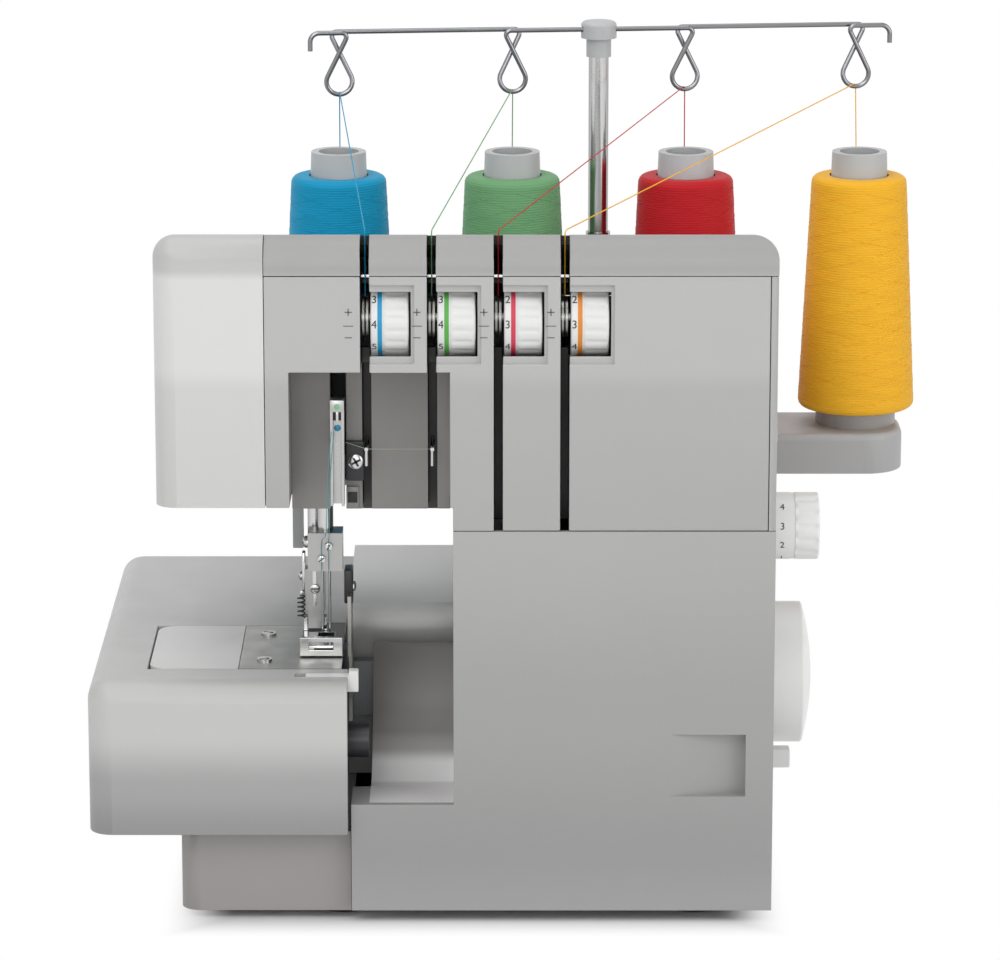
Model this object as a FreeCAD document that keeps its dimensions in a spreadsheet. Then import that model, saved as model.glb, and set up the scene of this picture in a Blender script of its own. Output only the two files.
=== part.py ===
import FreeCAD, Part
import math
import os

import Sketcher
from FreeCAD import Placement, Rotation, Vector

# A serger overlock machine: X to the right, Y to the back, Z up, in millimetres.
# The needle axis and the front plane set where everything else lies.
SIZES = {
    # datum
    "needle_x": (-82.27, "needle bar axis, left of the model's middle"),
    "front_y": (-132.15, "front plane of the upper panel"),
    # shared walls and fits
    "wall": (2.5, "moulded wall"),
    "panel": (3, "front panel thickness"),
    "seam": (0.3, "gap at a cover's seam"),
    "run": (0.05, "radial clearance of a running shaft"),
    "swing": (0.3, "air beside a moving piece"),
    "hair": (0.02, "radial clearance of a pushed-in piece"),
    # heights above the table
    "foot_gap": (3.5, "rubber foot height"),
    "tray_top": (38, "top of the base tray"),
    "bed_z": (104, "sewing surface"),
    "seam_z": (168, "seam over the looper cover"),
    "head_z": (177.7, "underside of the head"),
    "lid_z": (274, "seam under the top cover, at the front plane"),
    "body_z": (292, "top of the body, at the front plane"),
    "lid_fall": (0.24, "fall of the body's top towards the back, to its depth"),
    # reaches from the needle axis and the front plane
    "throat": (54.4, "needle to column"),
    "column_w": (132.2, "column width"),
    "bed_reach": (11.6, "needle to looper cover's left end"),
    "head_reach": (67.4, "needle to the head's left end"),
    "face_w": (45, "face cover width"),
    "table_reach": (96.9, "needle to the table's left end"),
    "base_reach": (59.4, "needle to the base's left end"),
    "arm_d": (135, "arm depth"),
    "column_d": (206.5, "column depth"),
    "base_d": (206.5, "base depth"),
    "base_set": (5, "base front, behind the front plane"),
    "hinge_bay": (16, "depth of the bay for the cover hinge"),
    # feet
    "foot_r": (18, "foot radius"),
    "foot_left": (8.6, "left feet, right of the needle"),
    "foot_right": (28, "right feet, in from the side cover"),
    "foot_front": (31, "front feet, behind the front plane"),
    "foot_back": (172, "rear feet, behind the front plane"),
    # frame casting
    "slab_h": (7.5, "floor slab of the frame"),
    "post_w": (24, "post width"),
    "post_left": (61.6, "needle to the post"),
    "post_front": (80, "post front, behind the front plane"),
    "post_d": (70, "post depth"),
    "frame_drop": (24, "top of the frame, under the lid's seam"),
    "arm_front": (86, "arm beam front, behind the front plane"),
    "arm_back": (10, "arm beam back, in from the arm's back"),
    "arm_low": (205, "arm beam underside"),
    "lug_reach": (15.8, "head lugs, left of the needle"),
    "lug_w": (29.4, "head lug width"),
    "lug_front": (52, "head lug front, behind the front plane"),
    "lug_low": (181, "lower lug underside"),
    "lug_h": (7, "lower lug height"),
    "lug_top": (18, "upper lug height"),
    "rail_front": (79, "bed rail front, behind the front plane"),
    "rail_d": (6, "bed rail depth"),
    "rail_h": (24, "bed rail height"),
    "rail_reach": (66, "bed rail, left of the needle"),
    "plate_gap": (12, "bearing plate, in from the side cover"),
    "plate_w": (6, "bearing plate thickness"),
    "plate_top": (125, "bearing plate top"),
    "lifter_x": (12.4, "lifter pivot, left of the needle"),
    "lifter_z": (170, "lifter pivot height"),
    "lifter_pin": (2, "lifter pin radius"),
    "lifter_lug": (88, "lifter lug front, behind the front plane"),
    "lifter_lug_d": (12, "lifter lug depth"),
    "lifter_lug_w": (6, "lifter lug width"),
    # drive
    "shaft_r": (5, "main shaft radius"),
    "shaft_y": (100, "main shaft, behind the front plane"),
    "shaft_z": (80.5, "main shaft height"),
    "shaft_left": (13.6, "main shaft's left end, right of the needle"),
    "bush_r": (9, "bush outer radius"),
    "wheel_r": (30.4, "handwheel radius"),
    "wheel_w": (16.1, "handwheel width"),
    "wheel_gap": (0.8, "handwheel off the side cover"),
    "wheel_soft": (1.2, "handwheel rim rounding"),
    "wheel_dome": (4.2, "handwheel dome height"),
    "pulley_r": (30, "main pulley radius"),
    "pulley_w": (10, "pulley width"),
    "pulley_gap": (3, "pulleys, in from the bearing plate"),
    "motor_r": (24, "motor radius"),
    "motor_gap": (9, "motor's end to its pulley"),
    "motor_y": (145, "motor axis, behind the front plane"),
    "motor_z": (45, "motor axis height"),
    "spindle_r": (3, "motor spindle radius"),
    "pinion_r": (9, "motor pulley radius"),
    "belt_t": (2, "belt thickness"),
    "belt_w": (7, "belt width"),
    "belt_slack": (0.25, "belt off its pulleys"),
    # upper covers
    "slot_w": (3.7, "thread slot width"),
    "slot_pitch": (27.1, "thread slot pitch"),
    "slot_first": (18.7, "first thread slot, right of the needle"),
    "slot_deep": (20, "thread slot depth"),
    "recess_left": (12.4, "needle recess, left of the needle"),
    "recess_w": (65.6, "needle recess width"),
    "recess_d": (25, "needle recess depth"),
    "recess_z": (234.2, "top of the needle recess"),
    "recess_lip": (6.4, "recess's back wall, hanging under the head"),
    "groove_d": (12, "thread groove behind the recess"),
    "groove_hang": (2.8, "thread groove's back, hanging under the recess's wall"),
    "lid_wall": (6, "rim of the top cover"),
    "lid_roof": (4, "roof of the top cover"),
    "lid_round": (11, "edge rounding of the top cover"),
    "face_round": (9, "edge rounding of the face cover"),
    "face_wall": (4.5, "face cover wall"),
    # tension dials
    "dial_r": (16.5, "tension dial radius"),
    "dial_w": (15.5, "tension dial width"),
    "dial_off": (2.4, "dial's left end, right of its slot's middle"),
    "dial_z": (254, "tension dial axis height"),
    "dial_proud": (0.5, "dial's front, behind the front plane"),
    "dial_round": (1.2, "dial edge rounding"),
    "window_h": (26.5, "dial window height"),
    "window_air": (0.7, "air beside a dial"),
    "frame_step": (3, "step over and under a dial window"),
    "frame_side": (1.3, "step beside a dial window"),
    "frame_deep": (1.6, "depth of that step"),
    "stud_r": (2, "tension stud radius"),
    "disc_r": (8, "tension disc radius"),
    "disc_t": (0.9, "tension disc thickness"),
    "disc_off": (0.35, "disc, off the slot's middle"),
    # needle bar group
    "bar_r": (3.3, "needle bar radius"),
    "needle_y": (63, "needle bar, behind the front plane"),
    "bar_low": (140, "needle bar's low end"),
    "bar_rise": (6, "needle bar, standing out of the frame"),
    "clamp_w": (14.7, "needle clamp width"),
    "clamp_left": (7.4, "needle clamp, left of the needle bar"),
    "clamp_front": (56, "needle clamp front, behind the front plane"),
    "clamp_d": (12.3, "needle clamp depth"),
    "clamp_low": (136.5, "needle clamp underside"),
    "clamp_h": (16.5, "needle clamp height"),
    "needle_r": (0.65, "needle radius"),
    "needle_off": (1.5, "each needle off the bar's axis"),
    "needle_tip": (108, "needle tip height"),
    "grub_r": (1.7, "clamp screw radius"),
    "grub_h": (1.6, "clamp screw standing out"),
    "take_w": (5.8, "take-up channel width"),
    "take_left": (4, "take-up channel, right of the needle bar"),
    "take_front": (10, "take-up channel front, behind the front plane"),
    "take_d": (6, "take-up channel depth"),
    "take_t": (1.2, "take-up sheet thickness"),
    "take_low": (176, "take-up channel's low end"),
    "take_high": (220.5, "take-up channel's high end"),
    "take_arm_low": (200, "take-up arm underside"),
    "take_arm_h": (10, "take-up arm height"),
    "take_ring": (6, "take-up clamp radius"),
    # presser group
    "presser_r": (3, "presser bar radius"),
    "presser_x": (4.9, "presser bar, left of the needle"),
    "presser_y": (72, "presser bar, behind the front plane"),
    "presser_low": (118, "presser bar's low end"),
    "presser_rise": (4, "presser bar, standing out of the frame"),
    "holder_w": (6, "foot holder tongue width"),
    "holder_low": (108, "foot holder's low end"),
    "holder_high": (134, "foot holder's high end"),
    "holder_block": (8.5, "foot holder block width"),
    "holder_floor": (2, "foot holder under the presser bar"),
    "pin_z": (110.5, "foot pin height"),
    "pin_r": (1.2, "foot pin radius"),
    "cheek_t": (1.5, "foot cheek thickness"),
    "foot_w": (18, "presser foot width"),
    "foot_x": (10.4, "presser foot, left of the needle"),
    "toe_y": (37, "presser foot toe, behind the front plane"),
    "heel_y": (82, "presser foot heel, behind the front plane"),
    "sole_t": (2.6, "presser foot sole"),
    "sole_gap": (0.6, "presser foot over the needle plate"),
    "toe_h": (8, "toe height"),
    "toe_t": (2, "toe thickness"),
    "lever_r": (4.5, "lifter hub radius"),
    "lever_w": (4.5, "lifter handle width"),
    "lever_d": (6, "lifter thickness"),
    "lever_low": (140, "lifter handle's low end"),
    # loopers, knives and feed
    "looper_r": (4, "looper hub radius"),
    "looper_pin": (2, "looper pin radius"),
    "looper_t": (5.5, "looper thickness"),
    "looper_rod": (3.5, "looper arm width"),
    "lower_x": (21.4, "lower looper pivot, left of the needle"),
    "lower_z": (73, "lower looper pivot height"),
    "lower_y": (50, "lower looper front, behind the front plane"),
    "lower_rise": (17, "lower looper arm height"),
    "lower_hook": (13, "lower looper hook length"),
    "upper_x": (36.4, "upper looper pivot, left of the needle"),
    "upper_z": (75, "upper looper pivot height"),
    "upper_y": (62, "upper looper front, behind the front plane"),
    "upper_rise": (15, "upper looper arm height"),
    "upper_hook": (25, "upper looper hook length"),
    "knife_t": (1.5, "knife thickness"),
    "knife_gap": (0.3, "air between the knives"),
    "lower_knife_x": (7.6, "lower knife, right of the needle"),
    "knife_y": (50, "knife front, behind the front plane"),
    "knife_w": (10, "knife width"),
    "lower_knife_z": (78, "lower knife's low end"),
    "upper_knife_z": (101, "upper knife's low end"),
    "upper_knife_top": (127, "upper knife's high end"),
    "carrier_low": (62, "knife carrier's low end"),
    "knob_r": (7.6, "knife knob radius"),
    "knob_w": (11.5, "knife knob width"),
    "knob_y": (21, "knife knob axis, behind the front plane"),
    "knob_z": (73.3, "knife knob axis height"),
    "dog_t": (3, "feed dog row width"),
    "dog_left": (8.4, "left feed row, left of the needle"),
    "dog_span": (14.5, "feed dog span"),
    "dog_y": (50, "feed dog front, behind the front plane"),
    "dog_d": (26, "feed dog length"),
    "dog_rise": (0.3, "feed dog over the needle plate"),
    "dog_bar": (3, "feed bar thickness"),
    "dog_low": (96, "feed bar underside"),
    "dog_air": (1, "air round a feed row at its sides"),
    "dog_stroke": (1.5, "feed stroke each way"),
    # bed
    "cabin_reach": (72.4, "free arm's left end, left of the needle"),
    "cabin_right": (7.6, "free arm's right end, right of the needle"),
    "cabin_front": (20, "free arm front, behind the front plane"),
    "cabin_d": (68, "free arm depth"),
    "cabin_low": (64, "free arm underside"),
    "cabin_round": (8, "free arm's left corners"),
    "plate_reach": (35.4, "needle plate, left of the needle"),
    "plate_t": (2, "needle plate thickness"),
    "beam_front": (88, "bed beam front, behind the front plane"),
    "beam_back": (206.5, "bed beam back, behind the front plane"),
    "beam_left": (8.4, "bed beam, right of the needle"),
    "beam_z": (112, "bed beam top"),
    "beam_round": (10, "bed beam edge rounding"),
    # extension table
    "table_lip": (4, "table's front, before the front plane"),
    "table_d": (220, "table depth"),
    "table_low": (39, "table underside"),
    "table_right": (10.6, "table's right end, right of the needle"),
    "table_corner": (10, "table's left corners"),
    "table_edge": (8.5, "table's left edge rounding"),
    "table_wall": (4.5, "table wall"),
    "table_air": (0.7, "air round the free arm"),
    "tab_left": (7, "finger tab, left of the needle"),
    "tab_w": (22, "finger tab length"),
    "tab_y": (8, "finger tab front, behind the front plane"),
    "tab_d": (5, "finger tab depth"),
    "tab_h": (2.2, "finger tab standing out"),
    "tab_nub": (4, "finger tab nub"),
    "tab_stroke": (4, "finger tab stroke"),
    # looper cover
    "cover_low": (5, "looper cover's low edge"),
    "chute_z": (51, "chute floor"),
    "chute_ledge": (26, "chute ledge depth"),
    "chute_r": (49, "chute hollow radius"),
    "chute_in": (7.6, "chute hollow's left end, in from the cover's end"),
    "grip_right": (11.4, "thumb hollow, in from the column's right side"),
    "grip_w": (31.4, "thumb hollow width"),
    "grip_low": (54.6, "thumb hollow's low edge"),
    "grip_h": (26.6, "thumb hollow height"),
    "grip_deep": (8, "thumb hollow depth"),
    "cheek_drop": (17.5, "fall of the cover's inner cheek"),
    "hinge_r": (2, "hinge rod radius"),
    "hinge_y": (8, "hinge rod, behind the front plane"),
    "hinge_z": (10, "hinge rod height"),
    "hinge_left": (13.6, "hinge rod, right of the needle"),
    "hinge_right": (14, "hinge rod, in from the side cover"),
    "eye_r": (4, "hinge eye radius"),
    "eye_w": (6, "hinge eye width"),
    "lug_one": (21.6, "first hinge lug, right of the needle"),
    "lug_two": (30, "second hinge lug, in from the side cover"),
    "cover_slide": (6, "sideways travel of the looper cover"),
    # right side
    "length_y": (60, "stitch length dial, behind the front plane"),
    "length_z": (155.4, "stitch length dial height"),
    "length_r": (14.1, "stitch length dial radius"),
    "length_w": (20.2, "stitch length dial length"),
    "length_gap": (0.8, "stitch length dial off the side cover"),
    "length_stem": (3, "stitch length dial stem radius"),
    "length_in": (14, "stem inside the side cover"),
    "feed_y": (60, "feed lever, behind the front plane"),
    "feed_z": (54, "feed lever height"),
    "feed_w": (5, "feed lever stem"),
    "feed_h": (8, "feed lever nub height"),
    "feed_out": (10, "feed lever standing out"),
    "feed_stroke": (10, "feed lever stroke each way"),
    "inlet_y": (140, "inlet, behind the front plane"),
    "inlet_d": (42, "inlet depth"),
    "inlet_z": (46, "inlet's low edge"),
    "inlet_h": (28, "inlet height"),
    "inlet_in": (12, "inlet inside the side cover"),
    "inlet_rim": (2, "inlet rim"),
    "plug_d": (18, "plug socket depth across"),
    "switch_d": (12, "switch width"),
    "switch_h": (19, "switch height"),
    "switch_out": (2.5, "switch standing out"),
    "switch_in": (7, "switch inside"),
    "switch_gap": (1.6, "air above and under the switch"),
    "switch_pin": (1.2, "switch pivot radius"),
    # spool stand and antenna
    "stand_left": (26.4, "stand's left end, left of the needle"),
    "stand_w": (281.8, "stand width"),
    "stand_d": (61.5, "stand depth"),
    "stand_low": (142.6, "stand underside"),
    "stand_h": (18.2, "stand height"),
    "stand_round": (18, "stand corners"),
    "stand_edge": (3, "stand edge rounding"),
    "stand_wall": (6.5, "stand wall"),
    "stand_arm": (48.5, "depth of the stand's right arm"),
    "stand_step": (8, "stand's back step, in from the column's right side"),
    "cone_first": (1.1, "first cone, right of the needle"),
    "cone_pitch": (78, "cone pitch"),
    "cone_y": (235, "cones, behind the front plane"),
    "seat_r": (18, "cone holder radius"),
    "seat_h": (7.2, "cone holder height"),
    "pin_pole": (4, "spool pin radius"),
    "pin_h": (115.2, "spool pin height"),
    "core_low": (16.5, "core's low radius"),
    "core_top": (12.3, "core's top radius"),
    "core_h": (117, "core height"),
    "core_bore": (9, "core bore radius"),
    "pack_low": (26.5, "thread package's low radius"),
    "pack_top": (21.4, "thread package's top radius"),
    "pack_h": (106, "thread package height"),
    "pack_round": (3, "thread package shoulder"),
    "turn_r": (1.75, "radius of a modelled turn of thread"),
    "turn_gap": (0.15, "turns off the package under them"),
    "turn_count": (24, "modelled turns on a package"),
    "pole_x": (118, "antenna, right of the needle"),
    "pole_y": (248, "antenna, behind the front plane"),
    "pole_r": (4.5, "antenna inner tube radius"),
    "pole_wall": (1, "antenna outer tube wall"),
    "pole_low": (212, "antenna inner tube's low end"),
    "pole_mid": (246, "antenna outer tube's top"),
    "pole_top": (331, "antenna inner tube's top"),
    "cap_r": (8, "antenna cap radius"),
    "cap_neck": (5.6, "antenna cap neck radius"),
    "cap_low": (326, "antenna cap's low end"),
    "cap_mid": (334.5, "antenna cap's shoulder"),
    "cap_top": (342, "antenna cap's top"),
    "wire_r": (1.1, "guide bar wire radius"),
    "wire_z": (338.5, "guide bar height"),
    "wire_turn": (5.7, "guide bar's turn about the antenna, degrees"),
    "eye_low": (28, "thread eye's drop"),
    "eye_big": (5.8, "thread eye's low bend radius"),
    "eye_small": (2.1, "thread eye's high bend radius"),
    "eye_lean": (26, "thread eye's side lean, degrees"),
    "eye_side": (1.9, "wire's offset at the eyes"),
    "wire_left": (126, "guide bar's left arm"),
    "wire_right": (128, "guide bar's right arm"),
    "wire_hook": (4, "guide bar end bend radius"),
    # small trim
    "screw_r": (3.2, "plate screw radius"),
    "screw_h": (0.9, "plate screw head"),
    "screw_x": (25, "plate screws, left of the needle"),
    "screw_front": (33, "front plate screw, behind the front plane"),
    "screw_back": (74, "rear plate screw, behind the front plane"),
    "hook_r": (0.8, "thread hook wire radius"),
    "hook_out": (11, "thread hook standing out"),
    "hook_drop": (7, "thread hook length"),
    "hook_z": (199, "thread hooks' height"),
    "ledge_w": (7.2, "guide bracket width"),
    "ledge_left": (10.2, "guide bracket, right of the needle"),
    "ledge_low": (184, "guide bracket's low end"),
    "ledge_h": (16.5, "guide bracket height"),
    "ledge_t": (3.5, "guide bracket thickness"),
    "lamp_left": (22, "lamp, right of the needle"),
    "lamp_w": (24, "lamp width"),
    "lamp_y": (46, "lamp front, behind the front plane"),
    "lamp_d": (16, "lamp depth"),
    "lamp_h": (2.2, "lamp height"),
    "thread_r": (0.3, "thread radius"),
    "thread_out": (19.8, "thread's start, out from the cone's axis"),
    "thread_z": (290.8, "thread's height at the slot's mouth"),
    "thread_in": (12, "thread at the slot's mouth, behind the front plane"),
    "thread_end": (264, "thread's end over the tension discs"),
}

DOC = FreeCAD.newDocument("serger")
SHEET = DOC.addObject("Spreadsheet::Sheet", "Dims")
for row, (alias, (value, note)) in enumerate(SIZES.items(), start=1):
    SHEET.set(f"A{row}", note)
    SHEET.set(f"B{row}", str(value))
    SHEET.setAlias(f"B{row}", alias)
DOC.recompute()


class Size:
    """A length from the sheet: the expression that FreeCAD follows, and what it comes to now."""

    def __init__(self, text, value):
        self.text = text
        self.value = value

    def __add__(self, other):
        other = as_size(other)
        return Size(f"({self.text} + {other.text})", self.value + other.value)

    def __sub__(self, other):
        other = as_size(other)
        return Size(f"({self.text} - {other.text})", self.value - other.value)

    def __mul__(self, other):
        other = as_size(other)
        return Size(f"({self.text} * {other.text})", self.value * other.value)

    def __truediv__(self, other):
        other = as_size(other)
        return Size(f"({self.text} / {other.text})", self.value / other.value)


def as_size(item):
    return item if isinstance(item, Size) else Size(f"{float(item):.6f}", float(item))


class Sheet:
    """Every row of the sheet, by its name."""

    def __getattr__(self, alias):
        return Size(f"Dims.{alias}", float(SHEET.get(alias)))


D = Sheet()
NODES = {}


def right_of_needle(reach):
    return D.needle_x + reach


def left_of_needle(reach):
    return D.needle_x - reach


def behind_front(reach):
    return D.front_y + reach


def bind(thing, **sizes):
    """Tie properties of an object to their sizes."""
    for name, length in sizes.items():
        thing.setExpression(name, as_size(length).text)


def place(thing, x, y, z):
    for axis, length in zip("xyz", (x, y, z)):
        thing.setExpression(f"Placement.Base.{axis}", as_size(length).text)
    return thing


def box(name, xs, ys, zs):
    """A block between two lengths on each axis."""
    block = DOC.addObject("Part::Box", name)
    bind(block, Length=as_size(xs[1]) - xs[0], Width=as_size(ys[1]) - ys[0], Height=as_size(zs[1]) - zs[0])
    return place(block, xs[0], ys[0], zs[0])


TURNS = {
    "X": Rotation(Vector(0, 1, 0), 90),
    "Y": Rotation(Vector(1, 0, 0), -90),
    "Z": Rotation(),
}


def axis_place(thing, axis, across, start):
    thing.Placement = Placement(Vector(), TURNS[axis])
    spots = {"X": (start, *across), "Y": (across[0], start, across[1]), "Z": (*across, start)}
    return place(thing, *spots[axis])


def rod(name, axis, across, radius, start, length):
    """A cylinder along an axis: where it crosses the other two axes, its start and its length."""
    cylinder = DOC.addObject("Part::Cylinder", name)
    bind(cylinder, Radius=radius, Height=length)
    return axis_place(cylinder, axis, across, start)


def taper(name, axis, across, low_radius, top_radius, start, length):
    cone = DOC.addObject("Part::Cone", name)
    bind(cone, Radius1=low_radius, Radius2=top_radius, Height=length)
    return axis_place(cone, axis, across, start)


def fuse(name, *pieces):
    joined = DOC.addObject("Part::MultiFuse", name)
    joined.Shapes = list(pieces)
    joined.Refine = True
    return joined


def cut(name, base, *tools):
    taken = DOC.addObject("Part::Cut", name)
    taken.Base = base
    taken.Tool = tools[0] if len(tools) == 1 else fuse(f"{name}_tools", *tools)
    taken.Refine = True
    return taken


def common(name, *pieces):
    shared = DOC.addObject("Part::MultiCommon", name)
    shared.Shapes = list(pieces)
    return shared


def group(name, *pieces):
    together = DOC.addObject("Part::Compound", name)
    together.Links = list(pieces)
    return together


def edges_where(shape, test):
    return [number for number, edge in enumerate(shape.Edges, start=1) if test(edge)]


def near(a, b):
    return abs(a - b) < 0.01


def runs_along(edge, axis, **at):
    """Whether a straight edge runs along an axis, at the lengths given for the other two."""
    if edge.Curve.TypeId != "Part::GeomLine":
        return False
    first, last = edge.Vertexes[0].Point, edge.Vertexes[-1].Point
    step = (last - first).normalize()
    if abs(getattr(step, axis.lower())) < 0.999:
        return False
    return all(near(getattr(first, name), size.value) for name, size in at.items())


def round_edges(name, base, radius, test):
    DOC.recompute()
    rounded = DOC.addObject("Part::Fillet", name)
    rounded.Base = base
    rounded.Edges = [(number, radius.value, radius.value) for number in edges_where(base.Shape, test)]
    return rounded


def node(name, piece):
    """Hand a finished piece in under its name."""
    piece.Label = name
    NODES[name] = piece
    return piece


def outline(body, name, plane_role, points):
    """A closed outline of straight stretches in a body, every corner tied to the sheet."""
    sketch = body.newObject("Sketcher::SketchObject", name)
    plane = [item for item in body.Origin.OriginFeatures if item.Role == plane_role][0]
    sketch.AttachmentSupport = [(plane, "")]
    sketch.MapMode = "FlatFace"
    points = [(as_size(across), as_size(up)) for across, up in points]
    count = len(points)
    for index, (across, up) in enumerate(points):
        onward = points[(index + 1) % count]
        first = Vector(across.value, up.value, 0)
        last = Vector(onward[0].value, onward[1].value, 0)
        sketch.addGeometry(Part.LineSegment(first, last), False)
    for index in range(count):
        sketch.addConstraint(Sketcher.Constraint("Coincident", index, 2, (index + 1) % count, 1))
    for index, spot in enumerate(points):
        for kind, length in zip(("DistanceX", "DistanceY"), spot):
            number = sketch.addConstraint(Sketcher.Constraint(kind, -1, 1, index, 1, length.value))
            sketch.setExpression(f"Constraints[{number}]", length.text)
    return sketch


def feature(body, kind, name, sketch, **sizes):
    made = body.newObject(f"PartDesign::{kind}", name)
    made.Profile = sketch
    bind(made, **sizes)
    sketch.Visibility = False
    return made


def turned(name, points, across, start):
    """A body turned about an X axis: points are lengths along the axis and radii."""
    body = DOC.addObject("PartDesign::Body", name)
    sketch = outline(body, f"{name}_outline", "XY_Plane", points)
    spin = body.newObject("PartDesign::Revolution", f"{name}_spin")
    spin.Profile = sketch
    spin.ReferenceAxis = (sketch, ["H_Axis"])
    spin.Angle = 360
    place(body, start, *across)
    return body, spin


def body_fillet(body, name, last, radius, test):
    DOC.recompute()
    soft = body.newObject("PartDesign::Fillet", name)
    soft.Base = (last, [f"Edge{number}" for number in edges_where(last.Shape, test)])
    bind(soft, Radius=radius)
    return soft


# Lengths that several pieces share.
column_left = right_of_needle(D.throat)
column_right = column_left + D.column_w
side_in = column_right - D.panel
cover_left = right_of_needle(D.bed_reach)
head_left = left_of_needle(D.head_reach)
face_seam = head_left + D.face_w
table_left = left_of_needle(D.table_reach)
base_left = left_of_needle(D.base_reach)
base_back = behind_front(D.base_d)
tray_floor = D.foot_gap + D.panel
frame_top = D.lid_z - D.frame_drop
plate_left = side_in - D.plate_gap - D.plate_w
pulley_left = plate_left - D.pulley_gap - D.pulley_w
rail_low = D.cabin_low + D.wall + D.seam
hinge_lugs = (right_of_needle(D.lug_one), side_in - D.lug_two)
shaft_at = (behind_front(D.shaft_y), D.shaft_z)
motor_at = (behind_front(D.motor_y), D.motor_z)
needle_at = (D.needle_x, behind_front(D.needle_y))
presser_at = (left_of_needle(D.presser_x), behind_front(D.presser_y))
hinge_at = (behind_front(D.hinge_y), D.hinge_z)
SLOTS = [right_of_needle(D.slot_first) + D.slot_pitch * index for index in range(4)]
DIAL_COLOURS = ("blue", "green", "red", "yellow")
dial_at = (behind_front(D.dial_proud) + D.dial_r, D.dial_z)
stand_back = behind_front(D.column_d) + D.seam + D.stand_d
stand_top = D.stand_low + D.stand_h
CONES = [right_of_needle(D.cone_first) + D.cone_pitch * index for index in range(4)]
cone_y = behind_front(D.cone_y)
far = 20


def make_base():
    lugs = []
    eyes = []
    for index, left in enumerate(hinge_lugs):
        lugs.append(box(f"hinge_lug_{index}", (left, left + D.eye_w),
                        (behind_front(D.hinge_y) - D.hinge_r, behind_front(D.hinge_bay) + D.wall),
                        (D.hinge_z - D.eye_r, D.hinge_z + D.eye_r)))
        eyes.append(rod(f"hinge_lug_eye_{index}", "X", hinge_at, D.hinge_r + D.run, left - 1, D.eye_w + 2))
        lugs.append(rod(f"hinge_lug_nose_{index}", "X", hinge_at, D.eye_r, left, D.eye_w))
    tray = DOC.addObject("PartDesign::Body", "tray")
    right = side_in - D.seam
    front, bay = behind_front(D.base_set), behind_front(D.hinge_bay)
    rim = [(base_left, front), (cover_left, front), (cover_left, bay), (right, bay),
           (right, base_back), (base_left, base_back)]
    feature(tray, "Pad", "tray_block", outline(tray, "tray_rim", "XY_Plane", rim),
            Length=D.tray_top - D.foot_gap)
    inner = [(base_left + D.wall, front + D.wall), (cover_left - D.wall, front + D.wall),
             (cover_left - D.wall, bay + D.wall), (right - D.wall, bay + D.wall),
             (right - D.wall, base_back - D.wall), (base_left + D.wall, base_back - D.wall)]
    hollow_sketch = outline(tray, "tray_inside", "XY_Plane", inner)
    hollow_sketch.setExpression("AttachmentOffset.Base.z", (D.tray_top - D.foot_gap).text)
    feature(tray, "Pocket", "tray_hollow", hollow_sketch,
            Length=D.tray_top - D.foot_gap - D.panel)
    place(tray, 0, 0, D.foot_gap)
    corners = round_edges("tray_round", tray, D.cabin_round,
                          lambda edge: runs_along(edge, "Z", x=base_left, y=front)
                          or runs_along(edge, "Z", x=base_left, y=base_back))
    deck = box("tray_deck", (base_left + D.wall / 2, cover_left),
               (front + D.wall / 2, base_back - D.wall / 2), (D.tray_top - D.wall, D.tray_top))
    node("base_tray", cut("base_tray", fuse("tray_lugs", corners, deck, *lugs), *eyes))
    feet = []
    for across in (right_of_needle(D.foot_left), side_in - D.foot_right):
        for deep in (D.foot_front, D.foot_back):
            feet.append(rod(f"foot_{len(feet)}", "Z", (across, behind_front(deep)),
                            D.foot_r, 0, D.foot_gap))
    node("rubber_feet", group("rubber_feet", *feet))


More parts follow.
